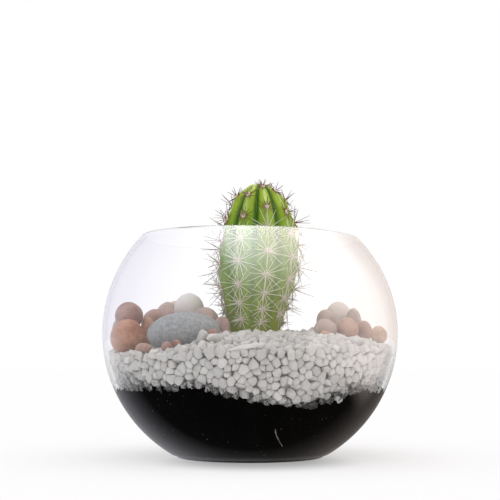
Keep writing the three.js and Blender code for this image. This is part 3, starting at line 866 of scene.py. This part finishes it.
def grain_layer(name, numbers, nodes=()):
    """Fits and joins the grains with these numbers into one piece."""
    shape = bmesh.new()
    shades, dirts = [], []
    for number in numbers:
        mesh = fitted_grain(number)
        soiled = dirt(spots[number])
        shade = rng.triangular(*SHADES) * (1 - PEAT_STAIN * soiled)
        shades += [shade] * len(mesh.vertices)
        dirts += [soiled] * len(mesh.vertices)
        shape.from_mesh(mesh)
        bpy.data.meshes.remove(mesh)
    piece = finish_piece(name, shape, marble, nodes)
    paint(piece, "shade", shades)
    paint(piece, "soiled", dirts)


grain_layer("marble_wall_layer", [i for i, outer in enumerate(on_wall) if outer], ["marble_chips"])
grain_layer("marble_top_layer", [i for i, outer in enumerate(on_wall) if not outer])

# %% [markdown]
# Only the outer grains show. The thousands below them would cost much and add nothing, so a plain
# core takes their place, a few millimetres behind the outer grains. Its colour is a little darker
# than theirs, a painted shade for the inside of a heap, so that what is seen of it between them
# reads as more grains in shadow.

# %% Fill the core
CORE_DEPTH = 5.2  # mm from the glass and from the bed's top
CORE_ROWS = 10
CORE_STEPS = 64
# painted shade: the core is coloured darker than the grains, as grains in shadow
CORE_PAINTED_SHADE = 0.7

core_side = [(cavity_radius(z) - CORE_DEPTH, z)
             for z in np.linspace(SOIL_LEVEL, CHIP_LEVEL, CORE_ROWS)]
core_top = [(core_side[-1][0] * (1 - i / CORE_ROWS), CHIP_LEVEL + 1) for i in range(1, CORE_ROWS)]
core = spin([(0.0, SOIL_LEVEL - 1), *core_side, *core_top, (0.0, CHIP_LEVEL + 1)], CORE_STEPS)
for vertex in core.verts:
    x, y, z = vertex.co
    share = min(1.0, max(0.0, (z - SOIL_LEVEL) / (CHIP_LEVEL - SOIL_LEVEL)))
    level = mix(soil_top(x, y) - 1, chip_top(x, y) - CORE_DEPTH, share)
    narrower = min(1.0, (cavity_radius(level) - CORE_DEPTH) / max(1.0, math.hypot(x, y)))
    vertex.co = (x * narrower, y * narrower, level)
core_piece = finish_piece("marble_core", core, marble)
paint(core_piece, "shade", [CORE_PAINTED_SHADE] * len(core_piece.data.vertices))

# %% [markdown]
# Two grains catch the eye and are placed one by one: a long pale splinter that lies flat near the
# front of the bed, and a lone grain that sank into the soil. Both start as blocks like the rest.
# The lone one is pressed a little into the glass, as the wet soil is, so that the soil doesn't hide
# it.

# %% Splinter and lone grain
PRESSED = 0.3  # mm past the inner face of the glass, at most
# Each has its place, half width of the block, stretch and turn.
SPLINTER = ((-1.0, -92.6, 73.0), 3.0, (2.9, 0.5, 0.36), (0.1, -0.16, 0.12))
LONE_GRAIN = ((54.1, -66.9, 41.1), 2.6, (1.0, 0.9, 0.9), (0.3, 0.2, 0.9))
SPLINTER_SHADE = 1.0
LONE_SHADE = 0.72

singles = bmesh.new()
shades = []
for (place, half, stretch, turn), shade in ((SPLINTER, SPLINTER_SHADE), (LONE_GRAIN, LONE_SHADE)):
    single = broken_block(half, Vector())
    bmesh.ops.scale(single, vec=stretch, verts=single.verts)
    bmesh.ops.rotate(single, cent=(0, 0, 0), matrix=Euler(turn).to_matrix(), verts=single.verts)
    bmesh.ops.translate(single, vec=place, verts=single.verts)
    wall, normal = wall_beside(Vector(place))
    cut(single, wall + Vector((place[0], place[1], 0)).normalized() * PRESSED, normal)
    mesh = wear(single)
    shades += [shade] * len(mesh.vertices)
    singles.from_mesh(mesh)
    bpy.data.meshes.remove(mesh)
singles_piece = finish_piece("marble_single_grains", singles, marble)
paint(singles_piece, "shade", shades)

# %% [markdown]
# ## Cactus
# The plant is a young columnar cactus with nine ribs: narrow and old at the soil, widest below the
# mouth of the bowl, and tapering to a bright green growing tip. Its radius is read off a drawn
# profile and smoothed a little. The axis leans to the right on its way up, and the ribs get deeper
# towards the tip.

# %% Stem profile
STEM_PROFILE = [  # height and radius at the ribs' crests
    (38, 7), (46, 11.5), (58, 14.5), (70, 16.3), (84, 17.6), (92, 19.2), (98, 20.8),
    (105.5, 22.6), (112, 24.9), (119, 26.4), (128, 27.2), (138, 27.3), (147, 26), (158, 23.7),
    (166, 21.5), (173, 18.4), (178.5, 14.6), (182.5, 10), (185, 5.4),
]
CROWN_TOP = 185.2
STEM_LEAN = 3.5
LEAN_FROM = 84
LEAN_TO = 160
PROFILE_BLUR = 2.5  # mm up and down over which the profile is smoothed


def stem_radius(z):
    """Radius at the ribs' crests, as a smooth curve through the profile."""
    heights, radii = zip(*STEM_PROFILE)
    below, here, above = (float(np.interp(z + shift, heights, radii))
                          for shift in (-PROFILE_BLUR, 0, PROFILE_BLUR))
    return (below + 2 * here + above) / 4


def stem_axis(z):
    return STEM_X + STEM_LEAN * smoothstep(z, LEAN_FROM, LEAN_TO)


def rib_depth(z):
    """How far the valleys between the ribs reach in, as a share of the radius."""
    return 0.14 * smoothstep(z, 74, 100) + 0.14 * smoothstep(z, 150, 176)


print("stem", round(2 * stem_radius(138)), "mm thick at its widest")

# %% [markdown]
# Along each rib sit areoles, the felted spots that carry the spines. The top one of each rib is
# where the plant shows it, and the others follow downwards at one step, which shrinks on old growth
# near the soil.

# %% Ribs and areoles
RIBS = 9
FIRST_RIB = math.radians(-77)
AREOLE_START = [167.4, 164.5, 174.5, 167, 174, 169, 172, 176, 161]  # one on each rib
AREOLE_STEP = 15.4
OLD_GROWTH = 122
STEP_SHRINK = 0.82
LOWEST_AREOLE = 88
HIGHEST_AREOLE = 183
SWELLINGS = (84, 96)  # heights between which the swellings under the areoles set in
VALLEY_ROUNDING = 0.012  # keeps the valleys between the ribs from being sharp creases


def areole_heights(rib):
    """Heights of the areoles on a rib, from the top down."""
    heights = []
    step = AREOLE_STEP
    z = AREOLE_START[rib] + step
    while z > LOWEST_AREOLE:
        if z < HIGHEST_AREOLE:
            heights.append(z)
        if z < OLD_GROWTH:
            step *= STEP_SHRINK
        z -= step
    return heights


def crest_at(angle):
    """1 on a rib's crest, 0 in the valley between two."""
    return abs(math.cos(RIBS * (angle - FIRST_RIB) / 2))


def stem_point(z, angle, out=0.0):
    """A point of the skin at a height and an angle, a distance out from it."""
    crest = math.sqrt(crest_at(angle) ** 2 + VALLEY_ROUNDING)
    radius = stem_radius(z) * (1 - rib_depth(z) * (1 - crest)) + out
    return Vector((stem_axis(z) + radius * math.cos(angle), radius * math.sin(angle), z))


AREOLES = [(rib, z) for rib in range(RIBS) for z in areole_heights(rib)]
print(len(AREOLES), "areoles on", RIBS, "ribs")

# %% [markdown]
# The stem could be extruded and sculpted, but it is mostly round, so it is spun, and each vertex is
# then put on the ribbed skin. A small swelling rises under each areole, and a slow noise keeps the
# skin from looking turned on a lathe.

# %% Spin and rib the stem
STEM_STEPS = 144
STEM_ROWS = 110
TUBERCLE = 1.0  # mm that the rib swells under an areole
TUBERCLE_SIZE = (3.4, 3.2)  # mm along the rib and across it
SKIN_DENTS = 0.25

foot = STEM_PROFILE[0][0]
rows = [(stem_radius(z), z) for z in np.linspace(foot, CROWN_TOP - 0.3, STEM_ROWS)]
stem = spin([(0.0, foot - 0.2), *rows, (0.0, CROWN_TOP)], STEM_STEPS)
crests = []
for vertex in stem.verts:
    x, y, z = vertex.co
    angle = math.atan2(y, x)
    radius = math.hypot(x, y)
    crests.append(crest_at(angle))
    if radius < 0.01:
        vertex.co = (stem_axis(z), 0, z)
        continue
    rib = round((angle - FIRST_RIB) / (math.tau / RIBS)) % RIBS
    across = (angle - FIRST_RIB - rib * math.tau / RIBS + math.pi) % math.tau - math.pi
    swell = sum(bell(z - height, TUBERCLE_SIZE[0]) for height in areole_heights(rib))
    swell *= bell(across * radius, TUBERCLE_SIZE[1])
    dents = noise.fractal(Vector((x, y, z)) * 0.07, 1.0, 2.0, 2) * SKIN_DENTS
    vertex.co = stem_point(z, angle, TUBERCLE * swell * smoothstep(z, *SWELLINGS) + dents)
print("stem height", round(max(vertex.co.z for vertex in stem.verts), 1), "mm")

# %% [markdown]
# The skin is a waxy cuticle over green flesh: a soft sheen, a little light let in, yellower where
# it is old near the soil, and brighter green at the tip. The valleys between the ribs are darker
# than the crests, partly in the skin's own green and partly as painted shade in the creases,
# darkest near the tip. The stored crest number tells the material where they are, and near the tip
# a pale line runs along each crest.

# %% Waxy skin
skin, tree = new_material("waxy_cactus_skin")
place = add(tree, "TexCoord").outputs["Object"]
height = add(tree, "SeparateXYZ", {0: place}).outputs[2]
crest = add(tree, "Attribute", attribute_name="crest").outputs["Fac"]
age = add(tree, "MapRange", {0: height, 1: 82 * MM, 2: 186 * MM, 3: 0.0, 4: 1.0})
crest_tone = add(tree, "ValToRGB", {0: age.outputs[0]}, stops=[
    (0.0, "#8f9e10"), (0.16, "#90a634"), (0.5, "#8aac5e"), (0.72, "#86a92c"), (1.0, "#a5b938"),
])
# The valleys' darker green is partly the skin's tone and partly painted shade in the creases,
# darkest near the tip.
valley_tone_and_painted_shade = add(tree, "ValToRGB", {0: age.outputs[0]}, stops=[
    (0.0, "#7f9214"), (0.5, "#769a54"), (0.76, "#285600"), (1.0, "#346000"),
])
on_crest = add(tree, "MapRange", {0: crest, 1: 0.1, 2: 0.75, 3: 0.0, 4: 1.0},
               interpolation_type="SMOOTHSTEP")
ribbed = add(tree, "Mix", {
    0: on_crest.outputs[0], 6: valley_tone_and_painted_shade.outputs[0], 7: crest_tone.outputs[0],
}, data_type="RGBA")
near_tip = add(tree, "MapRange", {0: height, 1: 150 * MM, 2: 166 * MM, 3: 0.08, 4: 0.6})
line = add(tree, "MapRange", {0: crest, 1: 0.93, 2: 1.0, 3: 0.0, 4: near_tip.outputs[0]},
           interpolation_type="SMOOTHSTEP")
lined = add(tree, "Mix", {0: line.outputs[0], 6: ribbed.outputs[2], 7: colour("#b9d488")},
            data_type="RGBA")
mottle = add(tree, "TexNoise", {"Vector": place, "Scale": cells(3.846), "Detail": 4.0})
fleck = add(tree, "MapRange", {0: mottle.outputs[0], 1: 0.3, 2: 0.7, 3: 0.86, 4: 1.12})
flecked = add(tree, "Mix", {0: 1.0, 6: lined.outputs[2], 7: fleck.outputs[0]}, data_type="RGBA",
              blend_type="MULTIPLY")
pores = add(tree, "TexNoise", {"Vector": place, "Scale": cells(0.5556), "Detail": 2.0})
relief = add(tree, "Bump", {"Height": pores.outputs[0], "Distance": 0.2 * MM, "Strength": 0.25})
surface = add(tree, "BsdfPrincipled", {
    "Base Color": flecked.outputs[2], "Roughness": 0.45, "IOR": 1.38, "Specular IOR Level": 0.3,
    "Subsurface Weight": 0.12, "Subsurface Radius": (0.6, 1.0, 0.25), "Subsurface Scale": 2 * MM,
    "Normal": relief.outputs[0],
})
add(tree, "OutputMaterial", {0: surface.outputs[0]})
stem_piece = finish_piece("cactus_stem", stem, skin, ["cactus"])
paint(stem_piece, "crest", crests)

# %% [markdown]
# ## Areoles and spines
# A spine is dead, horn-like tissue, grown as a slim cone. At this size its roundness doesn't show,
# so one needle with a few sides is made once, and copies of it are stretched and turned for each
# spine and for each hair of the felt. Where along its needle a vertex lies is kept, because a spine
# darkens to its tip.

# %% Make a needle
NEEDLE_SIDES = 5
NEEDLE_TIP = 0.35  # share of the root's thickness

needle_maker = bmesh.new()
bmesh.ops.create_cone(needle_maker, segments=NEEDLE_SIDES, radius1=1, radius2=NEEDLE_TIP, depth=1,
                      cap_ends=True)
bmesh.ops.translate(needle_maker, vec=(0, 0, 0.5), verts=needle_maker.verts)
needle = bpy.data.meshes.new("needle")
needle_maker.to_mesh(needle)
needle_maker.free()
needle_along = [vertex.co.z for vertex in needle.vertices]


def add_needle(shape, root, direction, length, radius):
    """Adds a needle that stands on a root and points in a direction."""
    turn = direction.to_track_quat("Z", "Y").to_matrix().to_4x4()
    copy = needle.copy()
    copy.transform(Matrix.Translation(root) @ turn @ Matrix.Diagonal((radius, radius, length, 1)))
    shape.from_mesh(copy)
    bpy.data.meshes.remove(copy)


print("needle of", len(needle_along), "points")

# %% [markdown]
# Each areole carries a star of eight to thirteen thin spines that lie almost flat, and three that
# point out. Those on old growth near the soil are short, and so are the young ones at the tip. On
# the ribs at the plant's sides, which stand against the white wall behind, they are fewer and stay
# long almost to the top, and they are painted darker, a painted shade for spines seen against the
# light.

# %% Spread the spines
spine_rng = np.random.default_rng(23)
FRONT_SPINES = 13  # spines that lie flat in a star, on the ribs in front and on those at the sides
SIDE_SPINES = 8
CENTRAL_SPINES = 3
SPINE_LENGTH = 14
CHIPS_CLEAR = 0.5  # mm that the tip of a spine keeps from the chips
MOUTH = 140  # mm, from here on up the glass no longer closes in on the spines


def seen_aside(angle):
    """0 for a rib that faces the front, 1 for a rib at the plant's side or back."""
    return smoothstep(abs(math.degrees(angle) % 360 - 270), 45, 80)


def spine_scale(z, aside_of_view):
    """Length of the spines at a height, as a share of the longest."""
    scale = 0.5 + 0.5 * smoothstep(z, 88, 110)
    scale -= 0.5 * smoothstep(z, 152, 164) * (1 - aside_of_view)
    return scale - 0.55 * smoothstep(z, 166, 178) * aside_of_view


def spine_star(count):
    """How far round, how many degrees off the skin and how long each spine of an areole is."""
    start = spine_rng.uniform(0, math.tau)
    star = [(start + math.tau * (i + spine_rng.uniform(-0.25, 0.25)) / count,
             spine_rng.uniform(5, 22), spine_rng.uniform(0.75, 1.1)) for i in range(count)]
    for _ in range(CENTRAL_SPINES):
        star.append((spine_rng.uniform(0, math.tau), spine_rng.uniform(50, 80),
                     spine_rng.uniform(0.8, 1.1)))
    return star


def is_free(tip):
    """Whether the tip of a spine ends in the air, above the chips and inside the glass."""
    inside = math.hypot(tip.x, tip.y) <= cavity_radius(min(tip.z, MOUTH))
    return inside and tip.z >= chip_top(tip.x, tip.y) + CHIPS_CLEAR


print("spines up to", round(1.1 * SPINE_LENGTH, 1), "mm long")

# %% [markdown]
# A spine is a needle that starts just under the skin. It is pointed by three directions of the
# areole that it grows from: up along the rib, aside, and out of the skin. All spines are joined
# into one piece, and two numbers for each vertex tell the material how far along its spine it lies
# and how brown it is: brown for a young spine at the tip, and brown as painted shade on the ribs at
# the sides.

# %% Spines of an areole
SPINE_RADIUS = 0.31  # thicker than real, so that it still shows
SPINE_BURIED = 0.4  # mm of a spine below the skin

spines = bmesh.new()
spine_along, spine_young_and_painted_shade = [], []


def grow_spines(root, up, aside, out, aside_of_view):
    """Adds the spines of an areole, apart from those that would end in chips or glass."""
    # Spines on the ribs at the plant's sides get the young spines' brown as a painted shade.
    young_and_painted_shade = max(smoothstep(root.z, 150, 158), 0.6 * aside_of_view)
    scale = SPINE_LENGTH * spine_scale(root.z, aside_of_view)
    count = round(mix(FRONT_SPINES, SIDE_SPINES, aside_of_view))
    for around, lean, reach in spine_star(count):
        flat = up * math.cos(around) + aside * math.sin(around)
        lean = math.radians(lean)
        direction = (flat * math.cos(lean) + out * math.sin(lean)).normalized()
        length = scale * reach
        if is_free(root + direction * length):
            add_needle(spines, root - out * SPINE_BURIED, direction, length + SPINE_BURIED,
                       SPINE_RADIUS * spine_rng.uniform(0.8, 1.2))
            spine_along.extend(needle_along)
            spine_young_and_painted_shade.extend([young_and_painted_shade] * len(needle_along))


print("spines are", 2 * SPINE_RADIUS, "mm thick at the root")

# %% [markdown]
# The areole itself is a cushion of short grey-pink felt. It is a small icosphere, dented by noise,
# flattened and laid on the skin, with a few hairs that stick out of it, because single fibres are
# too fine to show.

# %% Felt of an areole
FELT_RADIUS = 1.5
FELT_HAIRS = 16
HAIR_RADIUS = 0.09

felt = bmesh.new()


def grow_felt(root, up, aside, out):
    """Adds the cushion of an areole and its hairs."""
    cushion = bmesh.new()
    bmesh.ops.create_icosphere(cushion, subdivisions=2, radius=FELT_RADIUS)
    for vertex in cushion.verts:
        vertex.co *= 1 + 0.25 * noise.noise(vertex.co * 2.2 + root)
    bmesh.ops.scale(cushion, vec=(1.0, 1.25, 0.7), verts=cushion.verts)
    on_skin = Matrix.Translation(root) @ Matrix((aside, up, out)).transposed().to_4x4()
    bmesh.ops.transform(cushion, matrix=on_skin, verts=cushion.verts)
    mesh = bpy.data.meshes.new("cushion")
    cushion.to_mesh(mesh)
    cushion.free()
    felt.from_mesh(mesh)
    bpy.data.meshes.remove(mesh)
    for _ in range(FELT_HAIRS):
        hair = aside * spine_rng.normal(0, 1) + up * spine_rng.normal(0, 1)
        hair += out * spine_rng.uniform(0.4, 1.6)
        add_needle(felt, root + out * 0.2, hair.normalized(), spine_rng.uniform(1.4, 2.6),
                   HAIR_RADIUS)


print("cushions", 2 * FELT_RADIUS, "mm wide")

# %% [markdown]
# Each areole sits on the crest of its rib, on the small swelling of the stem. The crest's slope
# there gives the direction up along the rib, and a cross product gives the one out of the skin.

# %% Grow the areoles
for rib, z in AREOLES:
    angle = FIRST_RIB + math.tau / RIBS * rib
    root = stem_point(z, angle, 0.8 * TUBERCLE * smoothstep(z, *SWELLINGS))
    up = (stem_point(z + 2, angle) - stem_point(z - 2, angle)).normalized()
    aside = Vector((-math.sin(angle), math.cos(angle), 0))
    out = aside.cross(up).normalized()
    grow_spines(root, up, aside, out, seen_aside(angle))
    grow_felt(root, up, aside, out)
print(len(spine_along) // len(needle_along), "spines")

# %% [markdown]
# Old spines are cream and slightly glossy, young ones at the tip are reddish-brown, and both get
# browner towards the point. The spines on the ribs at the plant's sides get much of the young ones'
# brown as a painted shade. Horn has an IOR of about 1.54. Spines are so thin that some light comes
# through, which a translucent share of the material gives.

# %% Spine horn
LIT_THROUGH = 0.4  # share of the light that a spine lets through

horn, tree = new_material("cactus_spine_horn")
along = add(tree, "Attribute", attribute_name="along").outputs["Fac"]
# The second number is youth at the tip and painted shade on the ribs at the sides.
young_and_painted_shade = add(tree, "Attribute", attribute_name="young_and_painted_shade").outputs["Fac"]
old_tone = add(tree, "ValToRGB", {0: along},
               stops=[(0.0, "#fffaf2"), (0.85, "#fffcf6"), (1.0, "#d9c2a6")])
young_and_painted_shade_tone = add(tree, "ValToRGB", {0: along},
                 stops=[(0.0, "#a4714e"), (0.5, "#72402a"), (1.0, "#2c140b")])
tone = add(tree, "Mix", {0: young_and_painted_shade, 6: old_tone.outputs[0], 7: young_and_painted_shade_tone.outputs[0]},
           data_type="RGBA")
surface = add(tree, "BsdfPrincipled", {
    "Base Color": tone.outputs[2], "Roughness": 0.45, "IOR": 1.54,
})
lit_through = add(tree, "BsdfTranslucent", {0: tone.outputs[2]})
both = add(tree, "MixShader", {
    0: LIT_THROUGH, 1: surface.outputs[0], 2: lit_through.outputs[0],
})
add(tree, "OutputMaterial", {0: both.outputs[0]})
spine_piece = finish_piece("cactus_spines", spines, horn, smooth=False)
paint(spine_piece, "along", spine_along)
paint(spine_piece, "young_and_painted_shade", spine_young_and_painted_shade)

# %% [markdown]
# The felt is dry plant hair, dull and tan, with a faint sheen at its edges where hairs catch the
# light. Its tufts are about a millimetre wide.

# %% Areole felt
wool, tree = new_material("areole_felt")
place = add(tree, "TexCoord").outputs["Object"]
tufts = add(tree, "TexNoise", {"Vector": place, "Scale": cells(1.111), "Detail": 3.0})
tone = add(tree, "ValToRGB", {0: tufts.outputs[0]}, stops=[(0.3, "#cdb4a8"), (0.7, "#f3e8e0")])
surface = add(tree, "BsdfPrincipled", {"Base Color": tone.outputs[0], "Roughness": 0.95,
                                       "Sheen Weight": 0.3})
add(tree, "OutputMaterial", {0: surface.outputs[0]})
finish_piece("cactus_felt", felt, wool)

# %% [markdown]
# ## Floor
# The bowl stands on a plain white table of opal acrylic, lit from below as product tables are,
# which leaves only a faint soft shadow round the foot. That shadow is painted: the table's glow is
# turned down near the foot, deepest right in front of it.

# %% Opal acrylic table
TABLE_WHITE = 0.93
TABLE_GLOW = 0.6  # share of the table's brightness that comes from its own lamp
# Painted shadow: the glow is turned down round the front of the foot.
GLOW_IN_PAINTED_SHADOW = 0.32  # what is left of it under the front of the foot
PAINTED_SHADOW_AT = (0.005, -0.04, 0.0)  # metres, the middle of the shadow

table, tree = new_material("opal_acrylic_light_table")
place = add(tree, "TexCoord").outputs["Object"]
from_foot = add(tree, "VectorMath", {0: place, 1: PAINTED_SHADOW_AT}, operation="DISTANCE")
# painted shadow: the glow falls from the table's full glow to the painted shadow's share near the
# foot
glow_with_painted_shadow = add(tree, "MapRange", {
    0: from_foot.outputs["Value"], 1: 25 * MM, 2: 72 * MM, 3: GLOW_IN_PAINTED_SHADOW, 4: TABLE_GLOW,
}, interpolation_type="SMOOTHSTEP")
glow = add(tree, "Emission", {0: colour("#ffffff"), 1: glow_with_painted_shadow.outputs[0]})
white = add(tree, "BsdfDiffuse", {0: (TABLE_WHITE * (1 - TABLE_GLOW),) * 3 + (1.0,)})
both = add(tree, "AddShader", {0: white.outputs[0], 1: glow.outputs[0]})
add(tree, "OutputMaterial", {0: both.outputs[0]})
print("table glows with", TABLE_GLOW, "of a white card's brightness")

# %% [markdown]
# The table is one flat grid, wide enough that its far edge melts into the white behind it. It is
# kept apart from the object: it hangs on no body. It is hidden from mirrored rays, because what the
# glass mirrors is set apart.

# %% Lay the floor
FLOOR_SIZE = 6  # metres from the middle to an edge

floor_maker = bmesh.new()
bmesh.ops.create_grid(floor_maker, x_segments=1, y_segments=1, size=FLOOR_SIZE)
floor_mesh = bpy.data.meshes.new("floor")
floor_maker.to_mesh(floor_mesh)
floor_maker.free()
floor_mesh.materials.append(table)
floor = bpy.data.objects.new("floor", floor_mesh)
bpy.context.scene.collection.objects.link(floor)
floor.visible_glossy = False
print("floor", 2 * FLOOR_SIZE, "m wide")

# %% [markdown]
# ## Light
# One very wide softbox hangs straight above, and the walls round about give the rest. A sun lamp
# with a very wide angle is such a softbox: its light comes from above but from many directions, so
# shadows stay faint.

# %% Soft light
SOFTBOX_POWER = 1.5  # W/m2 from straight above
SOFTBOX_WIDTH = 110  # degrees of the sky that it fills

softbox_data = bpy.data.lights.new("softbox", "SUN")
softbox_data.angle = math.radians(SOFTBOX_WIDTH)
softbox_data.energy = SOFTBOX_POWER
softbox = bpy.data.objects.new("softbox", softbox_data)
softbox.location = (0, 0, 1)
softbox.visible_glossy = False
softbox.visible_transmission = False
bpy.context.scene.collection.objects.link(softbox)
print("softbox of", SOFTBOX_POWER, "W/m2")

# %% [markdown]
# Bright surroundings make clear glass vanish, so what the glass mirrors is set apart from what
# lights the pieces. In front of it are a bright card overhead, which lays a milky veil on the upper
# glass, a tall window on the right, and a dim floor. Each is a band of directions: x to the right,
# y away from the camera, z up.

# %% What the glass mirrors in front
CARD_LIGHT = 10.8  # straight above
CARD_FADE = 3.8  # how fast the card gets dimmer towards the front, as a power of z
CARD_SLANT = 0.58  # how far its left edge leans over the bowl
WINDOW_LIGHT = 2.6
FLOOR_LIGHT = 0.04
WALL_LIGHT = 0.5

world = bpy.data.worlds.new("studio")
bpy.context.scene.world = world
world.use_nodes = True
tree = world.node_tree
tree.nodes.clear()
direction = add(tree, "TexCoord").outputs["Generated"]
x, y, z = add(tree, "SeparateXYZ", {0: direction}).outputs
path = add(tree, "LightPath").outputs

slant = add(tree, "Math", {0: z, 1: CARD_SLANT}, operation="MULTIPLY")
across = add(tree, "Math", {0: x, 1: slant.outputs[0]}, operation="ADD")
card_edge = add(tree, "MapRange", {0: across.outputs[0], 1: 0.14, 2: 0.36},
                interpolation_type="SMOOTHSTEP")
height = add(tree, "Math", {0: z, 1: 0.0}, operation="MAXIMUM")
steep = add(tree, "Math", {0: height.outputs[0], 1: CARD_FADE}, operation="POWER")
card_light = add(tree, "Math", {0: steep.outputs[0], 1: CARD_LIGHT}, operation="MULTIPLY")
card = add(tree, "Math", {0: card_edge.outputs[0], 1: card_light.outputs[0]}, operation="MULTIPLY")

window_edge = add(tree, "MapRange", {0: x, 1: 0.55, 2: 0.85, 3: 0.0, 4: WINDOW_LIGHT},
                  interpolation_type="SMOOTHSTEP")
window_sill = add(tree, "MapRange", {0: z, 1: -0.58, 2: -0.3}, interpolation_type="SMOOTHSTEP")
window = add(tree, "Math", {0: window_edge.outputs[0], 1: window_sill.outputs[0]},
             operation="MULTIPLY")

room = add(tree, "MapRange", {0: z, 1: -0.2, 2: 0.05, 3: FLOOR_LIGHT, 4: WALL_LIGHT})
lamps = add(tree, "Math", {0: card.outputs[0], 1: window.outputs[0]}, operation="ADD")
in_front = add(tree, "Math", {0: lamps.outputs[0], 1: room.outputs[0]}, operation="ADD")
print("card", CARD_LIGHT, "and window", WINDOW_LIGHT, "times as bright as the backdrop")

# %% [markdown]
# Near its outline the glass mirrors what lies ahead of the camera: the white backdrop, and below it
# the table, darker on the right. Mirrors inside the glass see a plain near-white, because their
# rays have passed the wall twice. The light that passes the glass from behind is the backdrop's, a
# little dimmer to the sides.

# %% What the glass shows from behind
INNER_MIRROR = 0.92
AMBIENT = 0.65  # what lights the pieces from all round

table_ahead = add(tree, "MapRange", {0: x, 1: -0.3, 2: 0.3, 3: 0.5, 4: 0.24})
over_table = add(tree, "MapRange", {0: z, 1: -0.12, 2: 0.0, 3: 0.0, 4: 1.0})
backdrop = add(tree, "Mix", {0: over_table.outputs[0], 2: table_ahead.outputs[0], 3: 1.0},
               data_type="FLOAT")
ahead = add(tree, "MapRange", {0: y, 1: 0.3, 2: 0.75, 3: 0.0, 4: 1.0})
outer_mirror = add(tree, "Mix", {
    0: ahead.outputs[0], 2: in_front.outputs[0], 3: backdrop.outputs[0],
}, data_type="FLOAT")
is_within = add(tree, "Math", {0: path["Transmission Depth"], 1: 0.5}, operation="GREATER_THAN")
mirror = add(tree, "Mix", {0: is_within.outputs[0], 2: outer_mirror.outputs[0], 3: INNER_MIRROR},
             data_type="FLOAT")
seen_through = add(tree, "MapRange", {0: y, 1: 0.8, 2: 0.99, 3: 0.82, 4: 1.1})
print("ambient light", AMBIENT)

# %% [markdown]
# The last nodes choose by the kind of ray: the camera itself sees pure white, rays through the
# glass and rays mirrored by it see what was made for them, and all others get the ambient light.
# The light is a little cool on the left and warm on the right, as the two sides of the glass are in
# the picture.

# %% Sky
around = add(tree, "Mix", {0: path["Is Glossy Ray"], 2: AMBIENT, 3: mirror.outputs[0]},
             data_type="FLOAT")
through = add(tree, "Mix", {
    0: path["Is Transmission Ray"], 2: around.outputs[0], 3: seen_through.outputs[0],
}, data_type="FLOAT")
strength = add(tree, "Mix", {0: path["Is Camera Ray"], 2: through.outputs[0], 3: 1.0},
               data_type="FLOAT")
side = add(tree, "MapRange", {0: x, 1: -0.6, 2: 0.6})
tint = add(tree, "ValToRGB", {0: side.outputs[0]}, stops=[
    (0.0, "#f3f0fb"), (0.38, "#f6f3fa"), (0.46, "#ffffff"),
    (0.53, "#ffffff"), (0.62, "#f1e9e5"), (1.0, "#fff1ea"),
])
shown = add(tree, "Mix", {0: path["Is Camera Ray"], 6: tint.outputs[0], 7: colour("#ffffff")},
            data_type="RGBA")
sky = add(tree, "Background", {0: shown.outputs[2], 1: strength.outputs[0]})
add(tree, "OutputWorld", {0: sky.outputs[0]})
print("sky ready")
